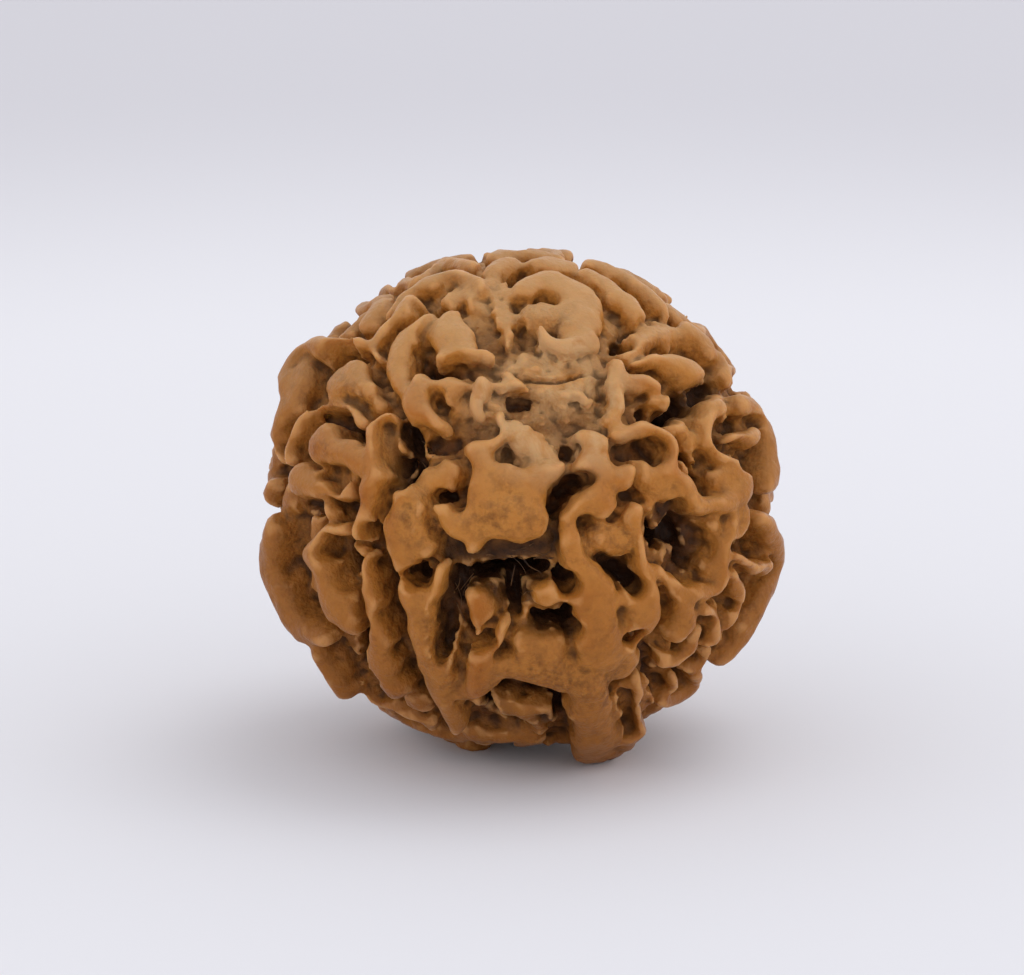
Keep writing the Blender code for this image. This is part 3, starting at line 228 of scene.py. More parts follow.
    "foot_rib": (13.45, [[(5.9, -9.2, 0.28), (5.9, -11.2, 0.3)], [(4.9, -10.0, 0.2), (4.9, -11.2, 0.2)]]),
    "under_middle": (12.6, [[(-0.3, -9.8, 0.6), (0.4, -10.6, 0.6), (1.2, -11.6, 0.45)]]),
}

# Lower, rougher ground between the lobes, given in the same way.
PADS = {
    "stem_scar": (12.15, [[(0.4, 6.7, 1.1), (1.4, 6.0, 1.6), (2.6, 5.6, 1.4), (3.4, 6.8, 1.0)]]),
    "rib_bed": (12.3, [[(-1.4, 10.8, 0.8), (-0.9, 9.6, 0.8), (-0.5, 8.4, 0.6)]]),
    "stem_tab": (12.7, [[(2.1, 5.5, 0.45), (2.9, 5.2, 0.55), (3.4, 5.0, 0.35)]]),
    "star_slope": (13.0, [[(-0.1, 3.3, 0.9), (0.6, 2.6, 1.0), (1.6, 2.1, 0.5)]]),
    "crown_dish": (12.75, [[(0.6, 9.3, 1.0), (2.0, 9.2, 1.1)]]),
    "arch_slope": (12.6, [[(-2.7, 10.4, 0.8), (-2.5, 9.8, 0.7)]]),
    "right_slope": (12.6, [[(5.4, 7.2, 0.7), (6.4, 8.2, 0.9), (7.4, 8.5, 1.0), (8.6, 7.9, 0.9)]]),
    "ear_shelf": (12.9, [[(-9.0, -4.1, 0.8), (-8.6, -5.2, 0.8)]]),
    "cheek_shelf": (12.65, [[(-3.7, 1.3, 1.0), (-4.3, 1.1, 0.8), (-4.7, 0.2, 0.8), (-4.6, -1.4, 0.8)]]),
    "nose_web": (12.9, [[(-7.6, 5.4, 0.9), (-7.0, 4.7, 0.7)]]),
    "band_shelf": (12.6, [[(-4.2, -6.2, 0.9), (-3.6, -7.6, 0.9), (-3.2, -8.6, 0.8)]]),
    "apron_shelf": (12.9, [[(0.4, -7.3, 1.1), (1.8, -7.5, 1.0)]]),
    "panel_shelf": (12.75, [[(3.9, -1.9, 1.1), (4.9, -1.9, 0.9), (5.2, -2.4, 0.6)]]),
    "wave_shelf": (12.5, [[(5.9, 1.6, 0.9), (6.7, 0.3, 0.9), (6.2, -0.3, 0.6)]]),
    "plate_right": (13.15, [[(10.4, 1.0, 0.9), (10.9, 0.6, 0.9)]]),
    "rib_ground": (12.7, [[(7.9, 3.6, 0.6), (8.5, 3.3, 0.6), (8.6, 2.6, 0.5)]]),
    "bowl_wall": (12.7, [[(9.7, -0.9, 0.7), (9.5, -2.4, 0.7), (9.4, -3.9, 0.7)]]),
    "fold_shelf": (12.9, [[(7.9, -5.6, 0.8), (7.8, -6.6, 0.8), (7.3, -7.7, 0.6)],
                          [(9.6, -5.4, 0.6), (10.0, -6.9, 0.6)]]),
    "foot_web": (12.9, [[(5.4, -9.3, 0.8), (5.4, -10.8, 0.8)]]),
    "under_web": (11.8, [[(-1.0, -10.4, 1.0), (0.4, -10.8, 1.0)]]),
    "bead_ground": (12.3, [[(-2.9, 4.5, 0.8), (-1.4, 4.4, 0.9)]]),
    "basin_shelf": (11.6, [[(-2.4, -2.9, 0.5), (0.4, -2.9, 0.6)]]),
}

# Holes that go deeper than the ground: (bottom radius, route).
PITS = {
    "stem_hole": (8.8, [(-0.6, 5.0, 0.25), (0.0, 4.85, 0.35), (0.5, 5.0, 0.2)]),
    "basin": (9.8, [(-2.4, -3.6, 0.5), (-0.8, -3.6, 0.7), (0.8, -3.5, 0.6)]),
    "basin_tail": (9.8, [(-0.5, -4.0, 0.7), (-0.2, -5.6, 0.4)]),
    "basin_left": (10.4, [(-3.1, -4.3, 0.35), (-3.1, -5.2, 0.3)]),
    "basin_corner": (9.4, [(2.1, -3.7, 0.45), (2.25, -4.0, 0.45)]),
    "basin_right": (9.4, [(0.8, -5.8, 0.3), (1.6, -6.0, 0.5), (2.3, -6.0, 0.6)]),
    "tongue_moat": (9.8, [(-2.8, -5.7, 0.25), (-2.5, -6.5, 0.3), (-1.9, -6.75, 0.25), (-1.4, -6.4, 0.25)]),
    "star_gap": (9.6, [(2.9, 1.0, 0.35), (2.2, 0.4, 0.5), (1.6, -0.3, 0.35)]),
    "panel_seam": (11.2, [(1.6, -0.8, 0.12), (1.7, -2.6, 0.15)]),
    "star_hole": (10.2, [(-3.6, 0.2, 0.4)]),
    "cross_pit": (10.8, [(2.25, 2.5, 0.3), (2.4, 2.2, 0.25)]),
    "left_cleft": (9.8, [(-6.9, -1.2, 0.25), (-6.85, -2.4, 0.3), (-6.4, -3.8, 0.3), (-6.25, -5.4, 0.3),
                         (-5.9, -7.2, 0.3), (-5.2, -9.0, 0.35), (-4.6, -10.2, 0.35)]),
    "ear_hole": (9.6, [(-9.0, -2.5, 0.4), (-8.6, -3.0, 0.65), (-8.2, -3.2, 0.6)]),
    "ear_side": (11.6, [(-9.5, -2.7, 0.4), (-9.2, -2.2, 0.4)]),
    "band_hole": (10.6, [(-4.95, -3.6, 0.5)]),
    "band_hollow": (11.2, [(-3.6, -5.3, 0.3), (-3.6, -6.4, 0.35), (-3.8, -7.4, 0.25)]),
    "valley_left": (9.6, [(-5.4, 3.4, 0.4), (-5.0, 2.4, 0.3), (-5.2, 1.3, 0.35), (-5.5, 0.9, 0.3)]),
    "valley_middle": (11.2, [(-4.3, 2.7, 0.45), (-3.1, 2.9, 0.35)]),
    "cheek_gap": (9.6, [(-5.15, 7.6, 0.22), (-4.95, 6.7, 0.35), (-4.4, 6.35, 0.4), (-3.0, 6.35, 0.25),
                        (-1.8, 6.4, 0.15)]),
    "shoulder_hole": (9.4, [(-10.0, 6.35, 0.35), (-9.25, 7.15, 0.6), (-8.45, 7.6, 0.4)]),
    "curl_hole": (10.4, [(-10.2, 4.2, 0.2), (-9.4, 4.4, 0.3), (-8.7, 3.9, 0.4), (-8.3, 3.5, 0.25)]),
    "arch_hole": (10.0, [(-5.0, 9.8, 0.45), (-4.3, 10.0, 0.45)]),
    "block_shade": (12.3, [(-9.6, 1.3, 0.2), (-8.7, 0.9, 0.35)]),
    "block_hole": (10.4, [(-11.6, -0.3, 0.22), (-10.5, -0.5, 0.32)]),
    "crown_hole": (10.4, [(5.3, 8.1, 0.55)]),
    "crown_corner": (11.4, [(0.1, 8.9, 0.2), (0.15, 8.5, 0.22)]),
    "right_slot": (9.2, [(7.0, 3.8, 0.35), (8.0, 4.5, 0.45), (8.8, 4.9, 0.5)]),
    "thorn_hole": (10.6, [(6.3, 4.45, 0.3)]),
    "brow_dent": (12.4, [(7.1, 6.1, 0.15), (7.8, 6.2, 0.3)]),
    "ring_hole": (10.0, [(10.1, 3.7, 0.28), (10.4, 4.1, 0.3)]),
    "ring_crease": (12.4, [(10.9, 3.9, 0.2), (11.9, 4.0, 0.1)]),
    "ring_fold": (11.8, [(10.6, 2.6, 0.3), (11.5, 2.6, 0.15)]),
    "ring_hollow": (10.8, [(8.6, 2.2, 0.35), (8.9, 1.4, 0.4), (9.4, 1.0, 0.4)]),
    "wave_hollow": (11.3, [(4.9, 2.5, 0.3), (5.7, 2.3, 0.55), (6.5, 2.4, 0.45)]),
    "bowl": (9.6, [(6.6, -1.2, 0.35), (7.2, -2.2, 0.75), (8.0, -1.9, 0.6)]),
    "bowl_dish": (11.4, [(7.6, -0.7, 0.7), (8.5, -1.9, 0.9), (8.3, -3.3, 0.8)]),
    "panel_slot": (9.8, [(3.9, -3.0, 0.2), (4.8, -3.4, 0.35), (5.5, -4.0, 0.38)]),
    "panel_pit": (10.8, [(5.3, -6.4, 0.3), (5.6, -6.6, 0.3)]),
    "flank_slot": (10.6, [(10.6, -2.35, 0.18), (11.5, -2.5, 0.28), (12.2, -2.8, 0.12)]),
    "flank_fold": (12.9, [(11.3, -4.0, 0.3), (11.9, -4.4, 0.12)]),
    "fold_cleft": (10.8, [(6.9, -4.4, 0.15), (7.5, -5.2, 0.2), (7.4, -6.2, 0.15), (6.9, -7.0, 0.2)]),
    "low_cleft": (11.0, [(6.5, -7.4, 0.2), (6.8, -8.8, 0.25), (6.9, -10.0, 0.2)]),
    "low_dent": (12.0, [(7.0, -7.6, 0.3), (7.7, -7.6, 0.25)]),
    "small_dent": (12.4, [(9.1, -6.0, 0.2), (9.3, -6.2, 0.2)]),
    "outer_dent": (12.5, [(10.3, -5.0, 0.25), (10.7, -5.2, 0.2)]),
    "pillar_hole": (9.6, [(-8.5, -7.0, 0.45), (-8.45, -8.2, 0.5), (-8.5, -9.0, 0.3)]),
    "foot_gap": (9.4, [(2.1, -10.5, 0.3), (2.2, -11.8, 0.35)]),
    "foot_groove": (12.5, [(5.3, -9.8, 0.25), (5.4, -11.2, 0.2)]),
    "foot_dent": (12.7, [(6.3, -9.4, 0.2), (6.3, -11.0, 0.2)]),
    "under_gap": (9.8, [(-1.8, -10.6, 0.3), (-1.2, -11.6, 0.5), (-0.2, -12.0, 0.4)]),
    "post_pit": (12.4, [(-7.25, -8.6, 0.22)]),
}

# Clefts over the edge of the drawn face: (bottom radius, across, up, half width) where they cross it.
EDGE_CLEFTS = {
    "edge_left_upper": (11.9, -8.2, 9.0, 0.3),
    "edge_left": (11.9, -13.0, -0.6, 0.35),
    "edge_left_top": (12.2, -6.3, 11.2, 0.3),
    "edge_top_left": (12.3, -2.1, 12.2, 0.2),
    "edge_top": (12.4, 0.3, 12.6, 0.15),
    "edge_top_right": (11.8, 3.0, 12.2, 0.3),
    "edge_right_upper": (11.7, 7.9, 9.6, 0.35),
    "edge_right_top": (11.9, 11.1, 6.0, 0.4),
    "edge_right": (11.8, 12.9, -0.6, 0.35),
    "edge_right_low": (11.8, 10.0, -8.8, 0.4),
    "edge_left_low": (12.0, -7.9, -10.3, 0.5),
    "edge_left_lower": (12.2, -10.9, -7.3, 0.25),
    "edge_under": (10.4, -0.7, -12.6, 0.6),
}
CLEFT_FRONT = 0.12  # how far a cleft reaches before and behind the edge, as a share of the radius
CLEFT_BACK = 0.35

# The three feet: (top radius, arms) with an arm's points as x, y, z and half width. Nothing else touches
# what the seed rests on.
FEET = {
    "foot_front": (13.65, [[(3.7, -8.0, -10.6, 1.1), (3.9, -6.0, -11.9, 1.15), (4.1, -3.9, -12.5, 1.0)],
                           [(5.8, -7.6, -10.3, 0.7), (5.6, -5.5, -11.7, 0.8), (4.9, -3.9, -12.4, 0.8)]]),
    "foot_left": (13.0, [[(-2.3, -1.6, -12.6, 0.95), (-3.3, 0.2, -12.1, 0.7)]]),
    "foot_back": (13.7, [[(-0.6, 5.0, -12.6, 1.0), (1.2, 5.6, -12.0, 0.7)]]),
}
FOOT_BLEND = 0.5
BELLY_CLEARANCE = 0.9  # how far the rest of the underside stays above the level of the feet
BELLY_BLEND = 0.5
BELLY_STEEPNESS = 0.3  # flatter directions than this have no belly below them

# The far side: winding lobes laid through points that keep a distance from each other and from the
# drawn lobes.
FAR_SEED = 11
FAR_TRIES = 9000
FAR_SPACING = 2.2
FAR_REACH = 3.6
FAR_MARGIN = 0.75
FAR_START = -0.75  # as a share of the radius, how far behind the face's middle plane the points begin
FAR_TOP = 13.2
FAR_TOP_SWELL = 0.4
FAR_BLEND = 0.15
LIMB_DROP = 0.65  # the lobes at the edge of the drawn face are lower by this
LIMB_BEGIN = 0.05  # where that begins to fade behind the face, and over how much, as shares of the radius
LIMB_FADE = 0.45
LOBE_STEPS = 4
SIDE_KNOB_CHANCE = 0.35
NEAREST_CHOICES = 3  # a lobe goes on to one of this many nearest points
LOBE_START = (0.65, 1.05)  # half widths of a lobe at its start, at its narrow bends and at its other points
LOBE_BEND = (0.5, 0.72)
LOBE_POINT = (0.6, 1.0)
KNOB_WIDTH = (0.4, 0.6)
BEND_SHIFT = 0.025  # how far bends and side knobs are moved aside, as shares of the radius
KNOB_SHIFT = 0.075

# Grooves from the stem end to the tip of the seed. Each seam between two of its segments is one of them.
STEM_END = (1.5, 5.2)
CLEFT_MARK = (-6.5, -4.4)  # a point of the drawn cleft, which is one of the grooves
GROOVES = 6
GROOVE_BOTTOM = 10.9
GROOVE_WIDTH = 0.2
GROOVE_WANDER = 0.07
GROOVE_RUN = (0.3, 0.97)  # from and to where between the stem end and the tip they run
GROOVE_POINTS = 15
GROOVE_BEHIND = 0.1  # how far behind the face's middle plane they begin, as a share of the radius
TIP_HOLLOW = (10.6, 0.55)  # bottom radius and half width of the hollow at the tip


def face_direction(across, up, radius):
    """Unit vector from the seed's middle to a point drawn on the face, for a surface of that radius."""
    reach = min(math.hypot(across, up), EDGE_SHARE * radius)
    towards = math.sqrt(radius**2 - reach**2)
    scale = reach / max(math.hypot(across, up), 1e-9)
    across, up = across * scale, up * scale
    sine, cosine = math.sin(FACE_TILT), math.cos(FACE_TILT)
    point = np.array([across, up * sine - towards * cosine, up * cosine + towards * sine])
    return point / np.linalg.norm(point)


def eased(arm):
    """The arm with the corners of its route cut off, so that it bends smoothly."""
    for _ in range(CORNER_CUTS if len(arm) > 2 else 0):
        inner = np.stack([0.75 * arm[:-1] + 0.25 * arm[1:], 0.25 * arm[:-1] + 0.75 * arm[1:]], axis=1)
        arm = np.vstack([arm[:1], inner.reshape(-1, 4), arm[-1:]])
    return arm


def face_arm(points, radius):
    """An arm as rows of x, y, z on the unit ball and its half width."""
    return eased(np.array([[*face_direction(across, up, radius), width] for across, up, width in points]))


def pit_arm(route):
    """A hole's route. Near the face's edge it's seen over the rims beside it, and drawn at their level."""
    rows = []
    for across, up, width in route:
        share = (math.hypot(across, up) - PIT_RIM_REACH[0]) / (PIT_RIM_REACH[1] - PIT_RIM_REACH[0])
        level = PIT_MOUTH + min(max(share, 0), 1) * (FAR_TOP - PIT_MOUTH)
        rows.append([*face_direction(across, up, level), width])
    return eased(np.array(rows))


def edge_arm(across, up, width):
    """A cleft's route over the edge of the drawn face, from a little before it to further behind."""
    sine, cosine = math.sin(FACE_TILT), math.cos(FACE_TILT)
    edge = np.array([across, up * sine, up * cosine]) / math.hypot(across, up)
    towards = np.array([0, -cosine, sine])
    spots = [edge + towards * CLEFT_FRONT, edge, edge - towards * CLEFT_BACK]
    return np.array([[*spot / np.linalg.norm(spot), width] for spot in spots])


def ripple(points, wavelength, seed, waves=24):
    """A smooth random field between about -1 and 1: waves of nearly one length in every direction."""
    rng = np.random.default_rng(seed)
    heading = rng.normal(size=(waves, 3))
    heading /= np.linalg.norm(heading, axis=1, keepdims=True)
    pace = 2 * math.pi / (wavelength * rng.uniform(0.75, 1.5, waves))
    phase = rng.uniform(0, 2 * math.pi, waves)
    total = np.zeros(len(points))
    for direction, step, start in zip(heading, pace, phase):
        total += np.sin(points @ (direction * step) + start)
    return total / math.sqrt(waves)


def soft_max(a, b, blend):
    overlap = np.maximum(blend - np.abs(a - b), 0) / blend
    return np.maximum(a, b) + overlap**2 * blend / 4


def depth_inside(points, arm, radius):
    """How far each point on the ball of that radius lies inside the arm's outline; negative outside."""
    best = np.full(len(points), FAR_OUTSIDE)
    spots = arm[:, :3] * radius
    widths = arm[:, 3]
    if len(arm) == 1:
        return widths[0] - np.linalg.norm(points - spots[0], axis=1)
    for start, end, width, next_width in zip(spots, spots[1:], widths, widths[1:]):
        middle = (start + end) / 2
        near = np.linalg.norm(end - start) / 2 + max(width, next_width) + SEARCH_MARGIN
        close = np.flatnonzero(((points - middle) ** 2).sum(axis=1) < near**2)
        along = end - start
        share = np.clip((points[close] - start) @ along / (along @ along), 0, 1)
        foot = start + share[:, None] * along
        foot *= radius / np.linalg.norm(foot, axis=1, keepdims=True)
        inside = width + share * (next_width - width) - np.linalg.norm(points[close] - foot, axis=1)
        best[close] = np.maximum(best[close], inside)
    return best


def raised(inside, top, edge):
    """Height of a lobe with a rounded rim, a slightly domed top and steep walls."""
    rim = np.clip(inside, 0, edge)
    rounding = np.sqrt(np.maximum(edge**2 - (edge - rim) ** 2, 0))
    height = top - edge + rounding + CROWN * np.clip(inside, 0, CROWN_REACH)
    return np.where(inside < 0, top - edge + inside * WALL_SLOPE, height)


def lobe_height(ball, arms, top, edge, blend=ARM_BLEND):
    surface = ball * top
    inside = depth_inside(surface, arms[0], top)
    for arm in arms[1:]:
        inside = soft_max(inside, depth_inside(surface, arm, top), blend)
    return raised(inside, top, edge)


def unit(vector):
    return vector / np.linalg.norm(vector)


def far_points(rng):
    """Evenly scattered directions on the far side, clear of every drawn lobe."""
    back = -face_direction(0, 0, FAR_TOP)
    tries = rng.normal(size=(FAR_TRIES, 3))
    tries /= np.linalg.norm(tries, axis=1, keepdims=True)
    tries = tries[tries @ back > FAR_START]
    for top, arms in LOBES.values():
        for arm in arms:
            tries = tries[depth_inside(tries * top, face_arm(arm, top), top) < -FAR_MARGIN]
    kept = tries[:1]
    for spot in tries:
        if np.linalg.norm(kept - spot, axis=1).min() * FAR_TOP > FAR_SPACING:
            kept = np.vstack([kept, spot])
    return kept


def far_arms():
    """Winding lobes of the far side: each runs through a few neighbouring points and swells at them."""
    rng = np.random.default_rng(FAR_SEED)
    spots = far_points(rng)
    gaps = np.linalg.norm(spots[:, None] - spots[None], axis=2) * FAR_TOP
    free = set(range(len(spots)))
    arms = []
    while free:
        current = min(free)
        free.discard(current)
        chain = [current]
        for _ in range(rng.integers(1, LOBE_STEPS + 1)):
            near = [spot for spot in sorted(free) if gaps[current, spot] < FAR_REACH]
            if not near:
                break
            current = near[int(rng.integers(0, min(NEAREST_CHOICES, len(near))))]
            free.discard(current)
            chain.append(current)
        rows = [[*spots[chain[0]], rng.uniform(*LOBE_START)]]
        for start, end in zip(chain, chain[1:]):
            bend = unit((spots[start] + spots[end]) / 2 + rng.normal(scale=BEND_SHIFT, size=3))
            rows.append([*bend, rng.uniform(*LOBE_BEND)])
            rows.append([*spots[end], rng.uniform(*LOBE_POINT)])
        arms.append(eased(np.array(rows)))
        for row in rows[::2]:
            if rng.random() < SIDE_KNOB_CHANCE:
                aside = unit(np.array(row[:3]) + rng.normal(scale=KNOB_SHIFT, size=3))
                arms.append(np.array([row, [*aside, rng.uniform(*KNOB_WIDTH)]]))
    return arms


def far_grooves():
    """Narrow wandering grooves down the far side, from beside the stem end to the hollow at the tip."""
    rng = np.random.default_rng(FAR_SEED + 1)
    stem = face_direction(*STEM_END, FAR_TOP)
    mark = face_direction(*CLEFT_MARK, FAR_TOP)
    across = unit(mark - (mark @ stem) * stem)
    beside = np.cross(stem, across)
    back = -face_direction(0, 0, FAR_TOP)
    grooves = []
    for turn in range(GROOVES):
        rows = []
        for fall in np.linspace(*GROOVE_RUN, GROOVE_POINTS) * math.pi:
            wander = rng.uniform(-GROOVE_WANDER, GROOVE_WANDER) / math.sin(fall)
            heading = 2 * math.pi * turn / GROOVES + wander
            sideways = across * math.cos(heading) + beside * math.sin(heading)
            spot = stem * math.cos(fall) + sideways * math.sin(fall)
            if spot @ back > GROOVE_BEHIND:
                rows.append([*spot, GROOVE_WIDTH])
        if len(rows) > 1:
            grooves.append(np.array(rows))
    return grooves


def relief(ball):
    """Distance from the middle to the surface in each direction of the unit ball."""
    wander = np.stack([ripple(ball * FAR_TOP, *field) for field in WANDER_FIELDS], axis=1)
    moved = ball * FAR_TOP + WANDER * wander
    moved /= np.linalg.norm(moved, axis=1, keepdims=True)
    height = FLOOR_LEVEL + FLOOR_SWELL * ripple(ball * FAR_TOP, *FLOOR_FIELD)
    height += GROUND_ROUGHNESS * ripple(ball * FAR_TOP, *GROUND_FIELD)
    for top, arms in PADS.values():
        drawn = [face_arm(arm, top) for arm in arms]
        height = soft_max(height, lobe_height(moved, drawn, top, PAD_EDGE), LOBE_BLEND)
    behind = np.clip((-ball @ face_direction(0, 0, FAR_TOP) - LIMB_BEGIN) / LIMB_FADE, 0, 1)
    level = FAR_TOP_SWELL * ripple(ball * FAR_TOP, *FAR_TOP_FIELD) * behind - LIMB_DROP * (1 - behind)
    far = lobe_height(moved, far_arms(), FAR_TOP, LOBE_EDGE, FAR_BLEND) + level
    height = soft_max(height, far, LOBE_BLEND)
    for top, arms in LOBES.values():
        drawn = [face_arm(arm, top) for arm in arms]
        height = soft_max(height, lobe_height(moved, drawn, top, LOBE_EDGE), LOBE_BLEND)
    belly = (MIDDLE_HEIGHT - BELLY_CLEARANCE) / np.maximum(-ball[:, 2], BELLY_STEEPNESS)
    height = -soft_max(-height, -belly, BELLY_BLEND)
    for top, arms in FEET.values():
        tips = [np.array([[*unit(np.array(spot)), width] for *spot, width in arm]) for arm in arms]
        height = soft_max(height, lobe_height(moved, tips, top, LOBE_EDGE), FOOT_BLEND)
    holes = [(bottom, pit_arm(route)) for bottom, route in PITS.values()]
    holes += [(GROOVE_BOTTOM, groove) for groove in far_grooves()]
    holes += [(cleft[0], edge_arm(*cleft[1:])) for cleft in EDGE_CLEFTS.values()]
    holes.append((TIP_HOLLOW[0], np.array([[*-face_direction(*STEM_END, FAR_TOP), TIP_HOLLOW[1]]])))
    for bottom, route in holes:
        inside = depth_inside(moved * PIT_MOUTH, route, PIT_MOUTH)
        hole = np.maximum(bottom, PIT_MOUTH - inside * np.where(inside > 0, PIT_SLOPE, 2 * PIT_SLOPE))
        height = -soft_max(-height, -hole, PIT_BLEND)
    return height


def averaged(values, ends, rounds):
    """Each value moved to the mean of itself and its neighbours', round after round."""
    count = len(values)
    links = 1 + np.bincount(ends[:, 0], minlength=count) + np.bincount(ends[:, 1], minlength=count)
    for _ in range(rounds):
        total = values.copy()
        total += np.bincount(ends[:, 0], values[ends[:, 1]], count)
        total += np.bincount(ends[:, 1], values[ends[:, 0]], count)
        values = total / links
    return values


def unit_ball(cuts):
    """A ball of even quads: a cube, cut into a grid on each side and blown up."""
    mesh = bmesh.new()
    bmesh.ops.create_cube(mesh, size=2.0)
    bmesh.ops.subdivide_edges(mesh, edges=mesh.edges[:], cuts=cuts - 1, use_grid_fill=True)
    for vert in mesh.verts:
        vert.co = [math.tan(part * math.pi / 4) for part in vert.co]
        vert.co.normalize()
    data = bpy.data.meshes.new(NODE)
    mesh.to_mesh(data)
    mesh.free()
    return data


def places(data):
    spots = np.empty(len(data.vertices) * 3)
    data.vertices.foreach_get("co", spots)
    return spots.reshape(-1, 3)


def neighbours(data):
    ends = np.empty(len(data.edges) * 2, int)
    data.edges.foreach_get("vertices", ends)
    return ends.reshape(-1, 2)


def place(data, spots):
    data.vertices.foreach_set("co", spots.ravel())
    data.update()


def softened(height, ends, cuts):
    """The relief smoothed over the same distance however fine the ball's grid is."""
    return averaged(height, ends, rounds_over(SOFTENING, math.pi / 2 * FAR_TOP / cuts))


# What the plain solid leaves out.
BALL_SIDE = 250  # samples along each side of the starting ball
OVERHANG = 0.22
REMESH_CELL = 0.135
SHELL_TRIANGLES = 197000
NEIGHBOURHOOD = 0.8  # how wide round a spot its rise is judged
RISE_REACH = 0.5  # how far above or below its neighbourhood a spot counts as all the way up or down
RISE_LIMITS = (-4, 1)
REMESH_SMOOTHING = 2  # rounds of averaging
UNDER_RISE = (-0.45, 0.35)  # between these rises, the wall under a rim is drawn in
RIM_WIDTH = 0.2
RIM_SMOOTHING = 2
RIM_STAND = 0.045  # how far a spot stands out of the surface round it to count as a rim
WALL_WRINKLE = 0.035
WALL_FIELD = (0.8, 21)  # wavelength, seed and number of waves of each random field
GROUND_GRIT = 0.05
GRIT_FIELDS = [(0.45, 22, 32), (0.8, 23, 32)]
LOW_GROUND = (12.0, 12.9)  # radii between which the rough ground gives way to the smooth lobes
TOP_SWELL = 0.03
TOP_FIELD = (1.5, 24)
SCAR_RANGE = (0.22, 0.36)  # angles from the stem end between which its torn fibres fade out
SCAR_GROUND = (12.7, 13.1)  # radii between which they give way to the smooth lobes
SCAR_ROUGHNESS = 0.09
SCAR_FIELD = (0.45, 26, 40)
SCAR_DEPTH = 0.6  # how far the scar is sunk, as a share of its roughness
SCAR_STRETCH = (0.4, 1.0, 1.0)  # its fibres run along the crack
GRIT_RELIEF = 0.03
COARSE_FIELD = (0.4, 27, 40)
CRACK = [(0.25, 6.1, 0.05), (1.1, 5.9, 0.06), (2.1, 5.95, 0.06), (3.25, 6.3, 0.04)]  # on the drawn face
CRACK_LEVEL = 12.5
CRACK_DEPTH = 0.4
CRACK_FADE = 0.14

# Marks on the drawn face: (radius that it's seen at, route). Throats are where the holes go on inwards,
# the dark marks are husk left in the holes and painted shade in them, grit is where the surface is coarse,
# and amber is where it's waxy.
THROATS = {
    "bowl": (10.6, [(7.0, -1.3, 0.6), (7.7, -1.8, 0.6), (7.4, -2.4, 0.4)]),
    "slot": (10.8, [(6.6, 4.0, 0.3), (7.5, 4.5, 0.4), (8.4, 5.0, 0.3)]),
    "basin": (11.0, [(-2.6, -3.4, 0.3), (-0.6, -3.2, 0.3), (1.0, -3.1, 0.3)]),
    "under_arch": (13.0, [(-1.2, -9.9, 0.4), (1.6, -10.3, 0.45)]),
    "valley": (11.0, [(-5.4, 3.0, 0.3), (-5.3, 1.6, 0.35)]),
    "edge": (10.8, [(9.0, 1.6, 0.35), (9.6, 1.2, 0.3)]),
}
THROAT_DEPTH = 1.4
THROAT_WALL = 0.35
# Painted shade: dark marks in the deep holes and under the arch by the feet, with husk left in the holes.
DIRT_AND_SHADE = {
    "basin_shelf": (12.0, [(-3.2, -2.5, 0.6), (-0.5, -2.6, 0.6), (1.7, -2.2, 0.5), (1.8, -0.8, 0.3)]),
    "basin": (11.2, [(-2.8, -4.0, 1.0), (1.2, -3.8, 0.8)]),
    "basin_left": (11.5, [(-3.9, -5.4, 0.5), (-3.8, -7.6, 0.4)]),
    "under_knob": (11.2, [(0.8, -6.0, 0.8), (2.4, -6.3, 0.9)]),
    "bowl": (10.8, [(6.6, -0.6, 0.4), (7.3, -1.7, 0.8), (7.4, -2.6, 0.6)]),
    "panel_slot": (11.4, [(3.2, -3.0, 0.4), (5.4, -3.8, 0.5)]),
    "valley": (11.2, [(-5.3, 3.2, 0.6), (-5.0, 0.8, 0.6)]),
    "under_arch": (11.8, [(-1.4, -9.9, 0.7), (1.8, -10.2, 0.8)]),
    "slot": (11.0, [(6.5, 4.0, 0.5), (8.5, 5.0, 0.5)]),
    "edge": (11.0, [(8.6, 2.2, 0.7), (9.4, 1.2, 0.7)]),
}
GRIT = {
    "star": (13.0, [(-2.0, -1.0, 0.9), (1.2, -0.9, 0.8)]),
    "apron": (12.9, [(-0.5, -7.6, 0.7), (1.6, -8.4, 0.9), (4.0, -9.0, 0.8)]),
    "panel": (12.8, [(3.4, -1.4, 0.8), (5.2, -2.0, 0.7)]),
    "post": (12.9, [(-5.2, -0.4, 0.7), (-4.8, -1.6, 0.7)]),
    "post_low": (12.8, [(-4.0, -5.6, 0.7), (-3.8, -8.0, 0.7)]),
    "crown": (12.9, [(0.5, 9.6, 0.9), (1.8, 9.0, 0.7)]),
    "knuckle": (12.8, [(-8.4, 5.6, 0.7), (-7.4, 4.8, 0.6)]),
}
